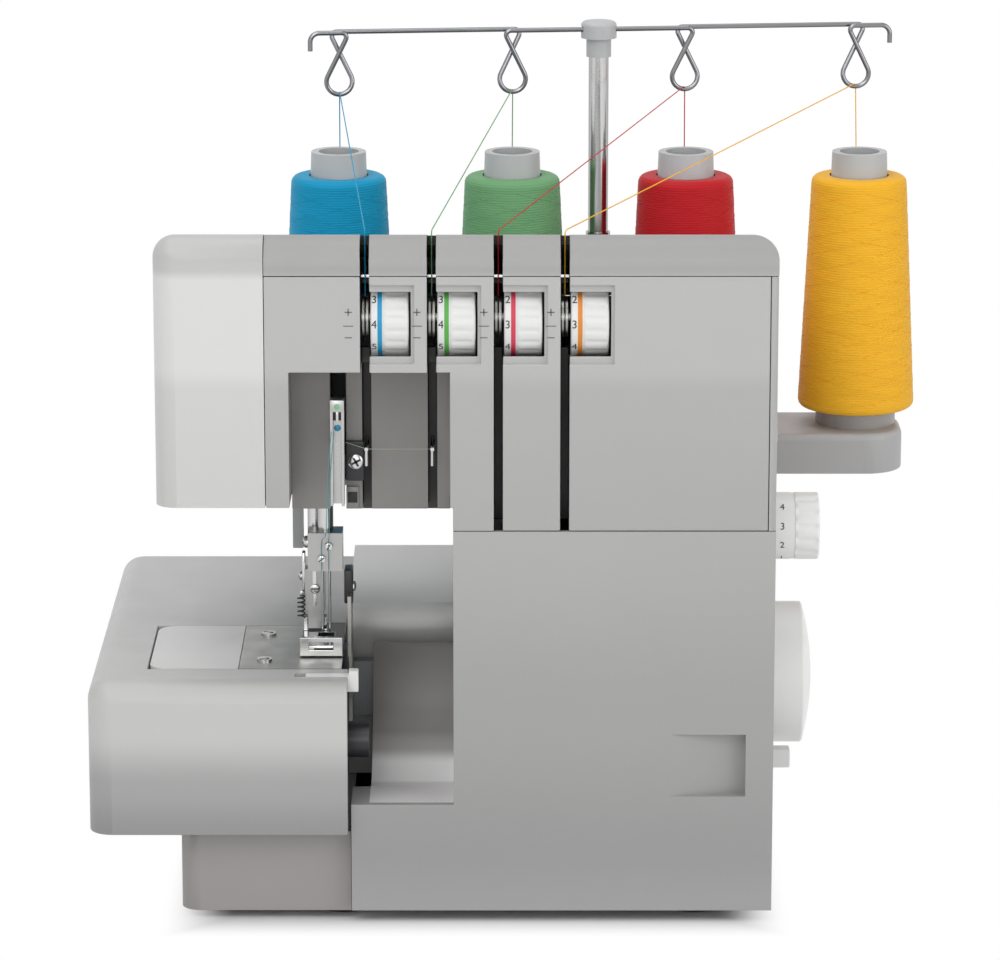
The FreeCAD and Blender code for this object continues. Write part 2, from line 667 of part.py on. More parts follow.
def make_frame():
    post_left = right_of_needle(D.post_left)
    post_right = post_left + D.post_w
    back = behind_front(D.post_front) + D.post_d
    lug_left = left_of_needle(D.lug_reach)
    lug_right = lug_left + D.lug_w
    arm_ys = (behind_front(D.arm_front), behind_front(D.arm_d) - D.arm_back)
    lug_ys = (behind_front(D.lug_front), arm_ys[1])
    rail_ys = (behind_front(D.rail_front), behind_front(D.rail_front) + D.rail_d)
    lifter_left = left_of_needle(D.lifter_x) - D.lifter_lug_w / 2
    pin_start = behind_front(D.lifter_lug) - D.lever_d - D.swing * 2
    solids = [
        box("slab", (post_left, plate_left + D.plate_w), (behind_front(D.post_front), back),
            (tray_floor, tray_floor + D.slab_h)),
        box("post", (post_left, post_right), (behind_front(D.post_front), back), (tray_floor, frame_top)),
        box("arm", (lug_left, post_right), arm_ys, (D.arm_low, frame_top)),
        box("web", (lug_left, lug_right), arm_ys, (D.lug_low, frame_top)),
        box("lug_lower", (lug_left, lug_right), lug_ys, (D.lug_low, D.lug_low + D.lug_h)),
        box("lug_upper", (lug_left, lug_right), lug_ys, (frame_top - D.lug_top, frame_top)),
        box("rail", (left_of_needle(D.rail_reach), post_right), rail_ys, (rail_low, rail_low + D.rail_h)),
        box("bearing_plate", (plate_left, plate_left + D.plate_w), (behind_front(D.post_front), back),
            (tray_floor, D.plate_top)),
        box("lifter_lug", (lifter_left, lifter_left + D.lifter_lug_w),
            (behind_front(D.lifter_lug), behind_front(D.lifter_lug) + D.lifter_lug_d),
            (D.lifter_z - D.lifter_lug_w / 2, D.lug_low + D.lug_h)),
        rod("lifter_pin", "Y", (left_of_needle(D.lifter_x), D.lifter_z), D.lifter_pin, pin_start,
            D.lever_d + D.swing * 2 + D.lifter_lug_d),
    ]
    for name, across, up, deep in (("lower", D.lower_x, D.lower_z, D.lower_y),
                                   ("upper", D.upper_x, D.upper_z, D.upper_y)):
        start = behind_front(deep) - D.swing
        solids.append(rod(f"{name}_looper_pin", "Y", (left_of_needle(across), up), D.looper_pin, start,
                          behind_front(D.rail_front) - start + 1))
    bores = [
        rod("needle_bore", "Z", needle_at, D.bar_r + D.run, D.lug_low - 1, frame_top - D.lug_low + 2),
        rod("presser_bore", "Z", presser_at, D.presser_r + D.run, D.lug_low - 1, frame_top - D.lug_low + 2),
        rod("bush_bore", "X", shaft_at, D.bush_r + D.hair, post_left - 1, column_right - post_left),
    ]
    node("frame_casting", cut("frame_casting", fuse("frame_solid", *solids), *bores))
    bushes = []
    for index, (left, width) in enumerate(((post_left, D.post_w), (plate_left, D.plate_w))):
        ring = rod(f"bush_{index}", "X", shaft_at, D.bush_r, left, width)
        hole = rod(f"bush_hole_{index}", "X", shaft_at, D.shaft_r + D.run, left - 1, width + 2)
        bushes.append(cut(f"bush_ring_{index}", ring, hole))
    node("shaft_bushes", group("shaft_bushes", *bushes))


def make_drive():
    left = right_of_needle(D.shaft_left)
    wheel_left = column_right + D.wheel_gap
    node("main_shaft", rod("main_shaft", "X", shaft_at, D.shaft_r, left, wheel_left + D.wheel_w - 2 - left))
    rim = [(0, 0), (0, D.wheel_r), (D.wheel_w, D.wheel_r)]
    rim += [(D.wheel_w + D.wheel_dome * (1 - out * out), D.wheel_r * out) for out in (0.8, 0.6, 0.4, 0.2, 0)]
    body, spin = turned("handwheel", rim, shaft_at, wheel_left)
    body_fillet(body, "handwheel_soft", spin, D.wheel_soft,
                lambda edge: near(getattr(edge.Curve, "Radius", 0), D.wheel_r.value)
                and edge.BoundBox.XMin > 1)
    hole = rod("wheel_bore", "X", shaft_at, D.shaft_r + D.hair, wheel_left - 1, D.wheel_w - 1)
    node("handwheel", cut("handwheel_bored", body, hole))
    pulley = rod("pulley_disc", "X", shaft_at, D.pulley_r, pulley_left, D.pulley_w)
    node("main_pulley", cut("main_pulley", pulley, rod("pulley_bore", "X", shaft_at, D.shaft_r + D.hair,
                                                       pulley_left - 1, D.pulley_w + 2)))
    motor_left = right_of_needle(D.post_left) + D.post_w
    motor_right = pulley_left - D.motor_gap
    node("motor_body", rod("motor_body", "X", motor_at, D.motor_r, motor_left, motor_right - motor_left))
    spindle = motor_right + D.swing
    node("motor_pulley", fuse("motor_pulley",
                              rod("pinion", "X", motor_at, D.pinion_r, pulley_left, D.pulley_w),
                              rod("spindle", "X", motor_at, D.spindle_r, spindle, pulley_left - spindle + 1)))
    node("drive_belt", belt("drive_belt", pulley_left + (D.pulley_w - D.belt_w) / 2))


def belt_face(grow):
    """The face inside a belt's line: two arcs and the straight runs that touch both."""
    big, small = D.pulley_r.value + grow, D.pinion_r.value + grow
    near_hub = Vector(0, shaft_at[0].value, shaft_at[1].value)
    far_hub = Vector(0, motor_at[0].value, motor_at[1].value)
    line = far_hub - near_hub
    heading = math.atan2(line.z, line.y)
    lean = math.acos((big - small) / line.Length)

    def on(hub, radius, angle):
        return hub + Vector(0, math.cos(angle), math.sin(angle)) * radius

    one, two = heading + lean, heading - lean
    edges = [
        Part.Arc(on(near_hub, big, one), on(near_hub, big, heading + math.pi), on(near_hub, big, two)),
        Part.LineSegment(on(near_hub, big, two), on(far_hub, small, two)),
        Part.Arc(on(far_hub, small, two), on(far_hub, small, heading), on(far_hub, small, one)),
        Part.LineSegment(on(far_hub, small, one), on(near_hub, big, one)),
    ]
    return Part.Face(Part.Wire([edge.toShape() for edge in edges]))


def belt(name, left):
    slack = D.belt_slack.value
    ring = belt_face(slack + D.belt_t.value).cut(belt_face(slack))
    made = DOC.addObject("Part::Feature", name)
    made.Shape = ring.extrude(Vector(D.belt_w.value, 0, 0))
    return place(made, left, 0, 0)


def on_slope(level, deep):
    """Height of a plane that falls to the back like the lid: level at the front plane, less with depth."""
    return level - D.lid_fall * (deep - D.front_y)


def slope_side(name, level, limit):
    """All the room between a sloped plane of the lid and a level limit over or under it."""
    body = DOC.addObject("PartDesign::Body", name)
    front, back = D.front_y - far, stand_back
    rim = [(front, on_slope(level, front)), (back, on_slope(level, back)), (back, limit), (front, limit)]
    left = head_left - far
    feature(body, "Pad", f"{name}_pad", outline(body, f"{name}_rim", "YZ_Plane", rim),
            Length=column_right + far - left)
    return place(body, left, 0, 0)


def lies_on_slope(edge, level, seam):
    """Whether an edge lies in a sloped plane of the lid, and not all along the seam at the face cover."""
    spots = [vertex.Point for vertex in edge.Vertexes]
    return (all(near(spot.z, on_slope(level, as_size(spot.y)).value) for spot in spots)
            and not all(near(spot.x, seam.value) for spot in spots))


def make_front_panel():
    body = DOC.addObject("PartDesign::Body", "panel_body")
    left, right = face_seam + D.seam, side_in - D.seam
    rim = [(left, D.head_z), (column_left, D.head_z), (column_left, D.seam_z), (right, D.seam_z),
           (right, D.lid_z), (left, D.lid_z)]
    pad = feature(body, "Pad", "panel_pad", outline(body, "panel_rim", "XZ_Plane", rim), Length=D.panel)
    pad.Reversed = True
    place(body, 0, D.front_y, 0)
    front = D.front_y
    half = D.slot_w / 2
    recess_left = left_of_needle(D.recess_left)
    recess_right = recess_left + D.recess_w
    back = behind_front(D.recess_d)
    solids = [body, box("recess_block", (recess_left - D.panel, recess_right + D.panel),
                        (front, back + D.panel), (D.head_z, D.recess_z + D.panel)),
              box("recess_lip", (recess_left, recess_right), (back, back + D.panel),
                  (D.head_z - D.recess_lip, D.recess_z))]
    tools = [box("recess_air", (recess_left, recess_right), (front - far, back), (D.head_z - far, D.recess_z))]
    for index, spot in enumerate(SLOTS):
        in_recess = index < 2
        low = D.recess_z if in_recess else D.seam_z
        solids.append(box(f"channel_{index}", (spot - half - D.wall, spot + half + D.wall),
                          (front, behind_front(D.slot_deep) + D.wall), (low, D.lid_z)))
        tools.append(box(f"slot_{index}", (spot - half, spot + half), (front - far, behind_front(D.slot_deep)),
                         (low - far, D.lid_z + far)))
        if in_recess:
            solids.append(box(f"groove_block_{index}", (spot - half - D.wall, spot + half + D.wall),
                              (back, back + D.groove_d + D.wall),
                              (D.head_z - D.recess_lip, D.recess_z + D.panel)))
            solids.append(box(f"groove_back_{index}", (spot - half - D.wall, spot + half + D.wall),
                              (back + D.groove_d, back + D.groove_d + D.wall),
                              (D.head_z - D.recess_lip - D.groove_hang, D.recess_z)))
            tools.append(box(f"groove_{index}", (spot - half, spot + half), (back - 1, back + D.groove_d),
                             (D.head_z - far, D.recess_z)))
        dial_right = spot + D.dial_off + D.dial_w
        window = (D.dial_z - D.window_h / 2, D.dial_z + D.window_h / 2)
        tools.append(box(f"window_{index}", (spot - half, dial_right + D.window_air),
                         (front - far, behind_front(D.slot_deep) + far), window))
        tools.append(box(f"window_bay_{index}", (spot + half, dial_right + D.window_air),
                         (behind_front(D.panel), behind_front(D.slot_deep) + far),
                         (D.dial_z - D.dial_r - D.swing, D.dial_z + D.dial_r + D.swing)))
        tools.append(box(f"window_step_{index}", (spot, dial_right + D.window_air + D.frame_side),
                         (front - far, behind_front(D.frame_deep)),
                         (window[0] - D.frame_step, window[1] + D.frame_step)))
    take_left = right_of_needle(D.take_left) - D.swing
    tools.append(box("take_up_slot", (take_left, take_left + D.take_w + D.swing * 2),
                     (back - 1, back + D.panel + 1), (D.head_z - far, D.recess_z - 2)))
    tools.append(slope_side("over_panel", D.lid_z, D.body_z + far * 2))
    node("front_panel", cut("front_panel", fuse("panel_solid", *solids), *tools))


def plan(inset, back_inset):
    """The upper covers' outline from above: the arm is shallower than the column."""
    left, right = face_seam + D.seam + inset, column_right - inset
    arm_back = behind_front(D.arm_d) - back_inset
    column_back = behind_front(D.column_d) - back_inset
    front = D.front_y + inset
    return [(left, front), (right, front), (right, column_back), (column_left + inset, column_back),
            (column_left + inset, arm_back), (left, arm_back)]


def make_top_cover():
    body = DOC.addObject("PartDesign::Body", "lid_body")
    low = on_slope(D.lid_z, behind_front(D.column_d)) - far
    feature(body, "Pad", "lid_pad", outline(body, "lid_rim", "XY_Plane", plan(0, 0)),
            Length=D.body_z + far - low)
    place(body, 0, 0, low)
    block = cut("lid_block", body, slope_side("over_lid", D.body_z, D.body_z + far * 2))
    soft = round_edges("lid_soft", block, D.lid_round,
                       lambda edge: lies_on_slope(edge, D.body_z, face_seam + D.seam))
    hollow = DOC.addObject("PartDesign::Body", "lid_room")
    feature(hollow, "Pad", "lid_room_pad", outline(hollow, "lid_inside", "XY_Plane", plan(D.lid_wall, D.lid_wall)),
            Length=D.body_z + far - low)
    place(hollow, 0, 0, low)
    room = cut("lid_hollow", hollow, slope_side("lid_roof_side", D.body_z - D.lid_roof, D.body_z + far * 2))
    half = D.slot_w / 2
    tools = [room, slope_side("under_lid", D.lid_z + D.seam, low - far)]
    tools += [box(f"lid_slot_{index}", (spot - half, spot + half),
                  (D.front_y - far, behind_front(D.slot_deep)), (D.lid_z - far, D.body_z + far))
              for index, spot in enumerate(SLOTS)]
    node("top_cover", cut("top_cover", soft, *tools))


def make_rear_cover():
    front = behind_front(D.panel) + D.seam
    left = face_seam + D.seam
    arm_back, column_back = behind_front(D.arm_d), behind_front(D.column_d)
    low = D.tray_top + D.seam
    right = side_in - D.seam
    shell = fuse("rear_solid",
                 box("rear_arm", (left, right), (front, arm_back), (D.head_z, D.lid_z)),
                 box("rear_column", (column_left, right), (front, column_back), (low, D.lid_z)))
    recess_left = left_of_needle(D.recess_left) - D.panel - D.seam
    half = D.slot_w / 2 + D.wall + D.seam
    beam_z = D.beam_z + D.seam
    cheek_back = behind_front(D.chute_ledge) + D.chute_r + D.wall * 2
    tools = [
        box("rear_arm_air", (left + D.wall, column_left + far), (front - far, arm_back - D.wall),
            (D.head_z + D.wall, D.lid_z + far)),
        box("rear_column_air", (column_left + D.wall, right + far), (front - far, column_back - D.wall),
            (low - far, D.lid_z + far)),
        box("rear_recess_gap", (recess_left, recess_left + D.recess_w + D.panel * 2 + D.seam * 2),
            (front - far, behind_front(D.recess_d) + D.groove_d + D.wall + D.seam),
            (D.head_z - far, D.head_z + D.wall + 1)),
        rod("rear_needle_hole", "Z", needle_at, D.bar_r + D.wall, D.head_z - 1, D.wall + 2),
        rod("rear_presser_hole", "Z", presser_at, D.presser_r + D.wall, D.head_z - 1, D.wall + 2),
        box("rear_lifter_hole", (left_of_needle(D.lifter_x) - D.lifter_lug_w / 2 - D.seam,
                                 left_of_needle(D.lifter_x) + D.lifter_lug_w / 2 + D.seam),
            (behind_front(D.lifter_lug) - D.seam, behind_front(D.lifter_lug) + D.lifter_lug_d + D.seam),
            (D.head_z - 1, D.head_z + D.wall + 1)),
        box("rear_cheek_gap", (column_left - 1, column_left + D.wall + 1), (front - far, cheek_back),
            (low - far, D.head_z)),
        box("rear_bed_gap", (column_left - 1, column_left + D.wall + 1), (front - far, column_back - D.wall),
            (low - far, beam_z - D.wall)),
    ]
    tools.append(slope_side("over_rear", D.lid_z, D.body_z + far * 2))
    soft = round_edges("rear_soft", shell, D.cabin_round,
                       lambda edge: runs_along(edge, "Z", y=column_back, x=column_left)
                       or runs_along(edge, "X", y=arm_back, z=D.head_z))
    node("rear_cover", cut("rear_cover", soft, *tools))


def make_side_cover():
    low = D.cover_low
    plate = box("side_plate", (side_in, column_right), (D.front_y, behind_front(D.column_d)), (low, D.lid_z))
    soft = round_edges("side_soft", plate, D.face_wall / 2,
                       lambda edge: runs_along(edge, "Z", x=column_right))
    start, length = side_in - 1, D.panel + 2
    slot = D.feed_stroke + D.feed_w / 2 + D.swing
    behind_cover = behind_front(D.wall) + D.seam
    inlet_y, inlet_z = behind_front(D.inlet_y), D.inlet_z
    node("side_cover", cut("side_cover", soft, slope_side("over_side", D.lid_z, D.body_z + far * 2),
                           box("side_cover_step", (start, start + length), (D.front_y - far, behind_cover),
                               (low - far, D.seam_z)),
                           box("side_cover_toe", (start, start + length), (D.front_y - far, hinge_at[0]),
                               (low - far, D.hinge_z)),
                           rod("side_shaft_hole", "X", shaft_at, D.shaft_r + D.wall, start, length),
                           rod("side_dial_hole", "X", (behind_front(D.length_y), D.length_z),
                               D.length_stem + D.run, start, length),
                           box("side_feed_slot", (start, start + length),
                               (behind_front(D.feed_y) - D.feed_w / 2 - D.swing,
                                behind_front(D.feed_y) + D.feed_w / 2 + D.swing),
                               (D.feed_z - slot, D.feed_z + slot)),
                           box("side_inlet_hole", (start, start + length), (inlet_y, inlet_y + D.inlet_d),
                               (inlet_z, inlet_z + D.inlet_h))))


def make_face_cover():
    front, back = D.front_y, behind_front(D.arm_d)
    high = D.body_z + far
    block = cut("face_block", box("face_solid", (head_left, face_seam), (front, back), (D.head_z, high)),
                slope_side("over_face", D.body_z, high + far))

    def outer(edge):
        return runs_along(edge, "Z", x=head_left) or lies_on_slope(edge, D.body_z, face_seam)

    soft = round_edges("face_soft", block, D.face_round, outer)
    room = cut("face_air", box("face_room", (head_left + D.face_wall, face_seam + far),
                               (front + D.face_wall, back - D.face_wall), (D.head_z + D.wall, high)),
               slope_side("face_roof_side", D.body_z - D.face_wall, high + far))
    node("face_cover", cut("face_cover", soft, room))


def make_bed():
    left, right = left_of_needle(D.cabin_reach), right_of_needle(D.cabin_right)
    front = behind_front(D.cabin_front)
    back = front + D.cabin_d
    plate_left = left_of_needle(D.plate_reach)
    plate_low = D.bed_z - D.plate_t
    block = box("cabin_block", (left, right), (front, back), (D.cabin_low, D.bed_z))
    soft = round_edges("cabin_soft", block, D.cabin_round, lambda edge: runs_along(edge, "Z", x=left))
    node("free_arm_cover", cut(
        "free_arm_cover", soft,
        box("cabin_air", (left + D.wall, right + far), (front + D.wall, back - D.wall),
            (D.cabin_low + D.wall, plate_low - D.wall)),
        box("cabin_step", (plate_left, right + far), (front - far, back + far), (plate_low, D.bed_z + far)),
        box("cabin_mouth", (plate_left + D.cabin_round, right + far),
            (front + D.cabin_round, back - D.cabin_round), (plate_low - far, plate_low + 1))))
    rows = []
    for index in range(2):
        row_left = left_of_needle(D.dog_left) + (D.dog_span - D.dog_t) * index
        rows.append((row_left, row_left + D.dog_t))
    dog_ys = (behind_front(D.dog_y), behind_front(D.dog_y) + D.dog_d)
    hole = D.needle_off + D.needle_r * 3
    plate = box("plate_sheet", (plate_left + D.seam, right), (front, back), (plate_low, D.bed_z))
    tools = [box(f"plate_slot_{index}", (row[0] - D.dog_air / 2, row[1] + D.dog_air / 2),
                 (dog_ys[0] - D.dog_stroke - D.dog_air, dog_ys[1] + D.dog_stroke + D.dog_air),
                 (plate_low - 1, D.bed_z + 1)) for index, row in enumerate(rows)]
    tools.append(box("plate_needle_hole", (D.needle_x - hole, D.needle_x + hole),
                     (needle_at[1] - hole, needle_at[1] + hole), (plate_low - 1, D.bed_z + 1)))
    node("needle_plate", cut("needle_plate", plate, *tools))
    span = (rows[0][0], rows[1][1])
    bar = [box("feed_bar", span, dog_ys, (D.dog_low, D.dog_low + D.dog_bar)),
           box("feed_foot", span, (dog_ys[1] - D.rail_d, behind_front(D.rail_front) + D.rail_d - D.dog_stroke),
               (rail_low + D.rail_h + D.swing, D.dog_low + 1))]
    bar += [box(f"feed_row_{index}", row, dog_ys, (D.dog_low, D.bed_z + D.dog_rise))
            for index, row in enumerate(rows)]
    node("feed_dogs", cut("feed_dogs", fuse("feed_solid", *bar),
                          box("feed_needle_gap", (D.needle_x - hole, D.needle_x + hole),
                              (needle_at[1] - hole, needle_at[1] + hole), (D.dog_low - 1, D.dog_low + far))))
    beam_left = right_of_needle(D.beam_left)
    beam_right = column_left - D.seam
    ys = (behind_front(D.beam_front), behind_front(D.beam_back))
    low = D.tray_top + D.seam
    beam = box("beam_block", (beam_left, beam_right), ys, (low, D.beam_z))
    round_beam = round_edges("beam_soft", beam, D.beam_round,
                             lambda edge: runs_along(edge, "X", z=D.beam_z))
    node("bed_beam", cut("bed_beam", round_beam,
                         box("beam_air", (beam_left + D.wall, beam_right + far), (ys[0] + D.wall, ys[1] - D.wall),
                             (low - far, D.beam_z - D.face_wall * 1.2))))


def make_knives():
    left = right_of_needle(D.lower_knife_x)
    ys = (behind_front(D.knife_y), behind_front(D.knife_y) + D.knife_w)
    blade = box("lower_blade", (left, left + D.knife_t), ys, (D.lower_knife_z, D.bed_z))
    arm = box("lower_blade_arm", (left, left + D.knife_t), (behind_front(D.knob_y), ys[1]),
              (D.lower_knife_z - D.knob_r, D.lower_knife_z + D.knob_r / 2))
    knob = rod("lower_blade_knob", "X", (behind_front(D.knob_y), D.knob_z), D.knob_r, left, D.knob_w)
    node("lower_knife", fuse("lower_knife", blade, arm, knob))
    edge = left + D.knife_t + D.knife_gap
    xs = (edge, edge + D.knife_t)
    back = behind_front(D.rail_front) - D.swing
    node("upper_knife", fuse(
        "upper_knife",
        box("upper_blade", xs, (ys[0], back), (D.upper_knife_z, D.upper_knife_top)),
        box("upper_carrier", xs, (ys[1] + 2, back), (D.carrier_low, D.upper_knife_top))))


def make_dials():
    studs = []
    half = D.slot_w / 2
    for index, (spot, colour) in enumerate(zip(SLOTS, DIAL_COLOURS)):
        left = spot + D.dial_off
        rim = [(0, D.stud_r + D.run), (0, D.dial_r), (D.dial_w, D.dial_r), (D.dial_w, D.stud_r + D.run)]
        body, spin = turned(f"dial_{colour}", rim, dial_at, left)
        body_fillet(body, f"dial_{colour}_soft", spin, D.dial_round,
                    lambda edge: near(getattr(edge.Curve, "Radius", 0), D.dial_r.value))
        node(f"tension_dial_{colour}", body)
        start = spot - half
        stud = [rod(f"stud_{index}", "X", dial_at, D.stud_r, start, left + D.dial_w - start)]
        for side, low in (("left", spot - D.disc_off - D.disc_t), ("right", spot + D.disc_off)):
            stud.append(rod(f"disc_{side}_{index}", "X", dial_at, D.disc_r, low, D.disc_t))
        studs.append(fuse(f"tension_{index}", *stud))
    node("tension_units", group("tension_units", *studs))


def make_needle_bar():
    node("needle_bar", rod("needle_bar", "Z", needle_at, D.bar_r, D.bar_low,
                           frame_top + D.bar_rise - D.bar_low))
    left = left_of_needle(D.clamp_left)
    front = behind_front(D.clamp_front)
    low, high = D.clamp_low, D.clamp_low + D.clamp_h
    spots = [D.needle_x - D.needle_off, D.needle_x + D.needle_off]
    block = box("clamp_block", (left, left + D.clamp_w), (front, front + D.clamp_d), (low, high))
    grubs = [rod(f"grub_{index}", "Y", (spot, low + D.clamp_h * (index + 1) / 3), D.grub_r,
                 front - D.grub_h, D.grub_h + 1) for index, spot in enumerate(spots)]
    tools = [rod("clamp_bore", "Z", needle_at, D.bar_r + D.hair, D.bar_low, D.clamp_h)]
    needles = []
    for index, spot in enumerate(spots):
        at = (spot, needle_at[1])
        tools.append(rod(f"needle_hole_{index}", "Z", at, D.needle_r + D.hair, low - 1, D.bar_low - low + 2))
        shank = D.bar_low - D.hair * 5
        tip = D.needle_r * 4
        needles.append(fuse(f"needle_{index}",
                            rod(f"needle_shank_{index}", "Z", at, D.needle_r, D.needle_tip + tip,
                                shank - D.needle_tip - tip),
                            taper(f"needle_point_{index}", "Z", at, D.needle_r / 5, D.needle_r,
                                  D.needle_tip, tip)))
    node("needle_clamp", cut("needle_clamp", fuse("clamp_solid", block, *grubs), *tools))
    node("needles", group("needles", *needles))
    take_left = right_of_needle(D.take_left)
    xs = (take_left, take_left + D.take_w)
    ys = (behind_front(D.take_front), behind_front(D.take_front) + D.take_d)
    arm = (D.take_arm_low, D.take_arm_low + D.take_arm_h)
    solid = fuse("take_up_solid",
                 box("take_up_plate", xs, (ys[1] - D.take_t, ys[1]), (D.take_low, D.take_high)),
                 box("take_up_left", (xs[0], xs[0] + D.take_t), ys, (D.take_low, D.take_high)),
                 box("take_up_right", (xs[1] - D.take_t, xs[1]), ys, (D.take_low, D.take_high)),
                 box("take_up_arm", (xs[0] + D.swing, xs[1] - D.swing), (ys[1] - D.take_t, needle_at[1]), arm),
                 rod("take_up_ring", "Z", needle_at, D.take_ring, arm[0], D.take_arm_h))
    node("take_up_lever", cut("take_up_lever", solid,
                              rod("take_up_bore", "Z", needle_at, D.bar_r + D.hair, arm[0] - 1,
                                  D.take_arm_h + 2)))


def make_presser():
    node("presser_bar", rod("presser_bar", "Z", presser_at, D.presser_r, D.presser_low,
                            frame_top + D.presser_rise - D.presser_low))
    x, y = presser_at
    half = D.holder_w / 2
    block = D.holder_block / 2
    pin_at = (y, D.pin_z)
    holder = fuse("holder_solid",
                  box("holder_block", (x - block, x + block), (y - block / 1.5, y + block),
                      (D.presser_low - D.holder_floor, D.holder_high)),
                  box("holder_tongue", (x - half, x + half), (y - half / 1.2, y + half),
                      (D.holder_low, D.presser_low)))
    node("foot_holder", cut("foot_holder", holder,
                            rod("holder_bore", "Z", presser_at, D.presser_r + D.hair, D.presser_low, far),
                            rod("holder_pin_hole", "X", pin_at, D.pin_r + D.run, x - far, far * 2)))
    sole = D.bed_z + D.sole_gap
    left = left_of_needle(D.foot_x)
    toe, heel = behind_front(D.toe_y), behind_front(D.heel_y)
    cheek = x - half - D.swing - D.cheek_t
    cheek_two = x + half + D.swing
    pieces = [box("sole", (left, left + D.foot_w), (toe, y), (sole, sole + D.sole_t)),
              box("sole_heel", (left, left + D.foot_w), (y - 1, heel), (sole + D.sole_t * 0.6, sole + D.sole_t)),
              box("toe", (left, left + D.foot_w), (toe, toe + D.toe_t), (sole, sole + D.toe_h)),
              rod("foot_pin", "X", pin_at, D.pin_r, cheek, cheek_two + D.cheek_t - cheek)]
    for index, start in enumerate((cheek, cheek_two)):
        pieces.append(box(f"cheek_{index}", (start, start + D.cheek_t), (y - half, y + half),
                          (sole, D.pin_z + D.pin_r * 2)))
    gap = D.needle_off + D.needle_r * 3
    node("presser_foot", cut("presser_foot", fuse("foot_solid", *pieces),
                             box("foot_gap_slot", (D.needle_x - gap, D.needle_x + gap),
                                 (needle_at[1] - gap, needle_at[1] + gap), (sole - 1, sole + D.sole_t + 1)),
                             box("toe_window", (left + D.toe_t * 2, left + D.foot_w - D.toe_t * 2),
                                 (toe - 1, toe + D.toe_t + 1), (sole + D.sole_t, sole + D.toe_h - D.toe_t))))
    pivot = (left_of_needle(D.lifter_x), D.lifter_z)
    start = behind_front(D.lifter_lug) - D.swing - D.lever_d
    hub = rod("lifter_hub", "Y", pivot, D.lever_r, start, D.lever_d)
    grip = box("lifter_grip", (pivot[0] - D.lever_w / 2, pivot[0] + D.lever_w / 2), (start, start + D.lever_d),
               (D.lever_low, D.lifter_z))
    node("lifter_lever", cut("lifter_lever", fuse("lifter_solid", hub, grip),
                             rod("lifter_hole", "Y", pivot, D.lifter_pin + D.run, start - 1, D.lever_d + 2)))


def looper(name, across, up, deep, rise, hook):
    at = (left_of_needle(across), up)
    start = behind_front(deep)
    ys = (start, start + D.looper_t)
    rod_w = D.looper_rod / 2
    solid = fuse(f"{name}_solid",
                 rod(f"{name}_hub", "Y", at, D.looper_r, start, D.looper_t),
                 box(f"{name}_arm", (at[0] - rod_w, at[0] + rod_w), ys, (up, up + rise)),
                 box(f"{name}_hook", (at[0] - rod_w, at[0] + hook), ys, (up + rise - D.looper_rod, up + rise)))
    node(name, cut(name, solid, rod(f"{name}_hole", "Y", at, D.looper_pin + D.run, start - 1, D.looper_t + 2)))


def make_table():
    left, right = table_left, right_of_needle(D.table_right)
    front = D.front_y - D.table_lip
    back = front + D.table_d
    block = box("table_block", (left, right), (front, back), (D.table_low, D.bed_z))
    corner = round_edges("table_corner", block, D.table_corner, lambda edge: runs_along(edge, "Z", x=left))
    soft = round_edges("table_front", corner, D.table_edge,
                       lambda edge: near(edge.BoundBox.ZMin, D.bed_z.value)
                       and not runs_along(edge, "Y", x=right))
    cabin_left = left_of_needle(D.cabin_reach) - D.table_air
    cabin_ys = (behind_front(D.cabin_front) - D.table_air,
                behind_front(D.cabin_front) + D.cabin_d + D.table_air)
    tab_y = behind_front(D.tab_y)
    tab_left = left_of_needle(D.tab_left)
    air = D.table_wall
    slot = D.tab_stroke + D.swing
    node("extension_table", cut(
        "extension_table", soft,
        box("table_air", (left + air, right + far), (front + air, back - air), (D.table_low - far, D.bed_z - air)),
        box("table_arm_gap", (cabin_left, right + far), cabin_ys, (D.table_low - far, D.bed_z + far)),
        box("table_beam_gap", (right_of_needle(D.beam_left) - D.table_air, right + far),
            (behind_front(D.beam_front) - D.table_air, back + far), (D.table_low - far, D.bed_z + far)),
        box("table_tab_slot", (tab_left - slot, right + far), (tab_y - D.swing, tab_y + D.tab_d + D.swing),
            (D.bed_z - far, D.bed_z + far))))
    tab_right = tab_left + D.tab_w
    top = D.bed_z + D.tab_h
    node("finger_lever", fuse(
        "finger_lever",
        box("tab_bar", (tab_left, tab_right), (tab_y, tab_y + D.tab_d), (D.bed_z - air * 1.5, D.bed_z)),
        box("tab_nub", (tab_right - D.tab_nub, tab_right), (tab_y, tab_y + D.tab_d), (D.bed_z - air, top)),
        box("tab_flange", (tab_left, right - D.wall), (tab_y - D.wall, tab_y + D.tab_d + D.wall),
            (D.bed_z - air * 1.5, D.bed_z - air - D.swing))))


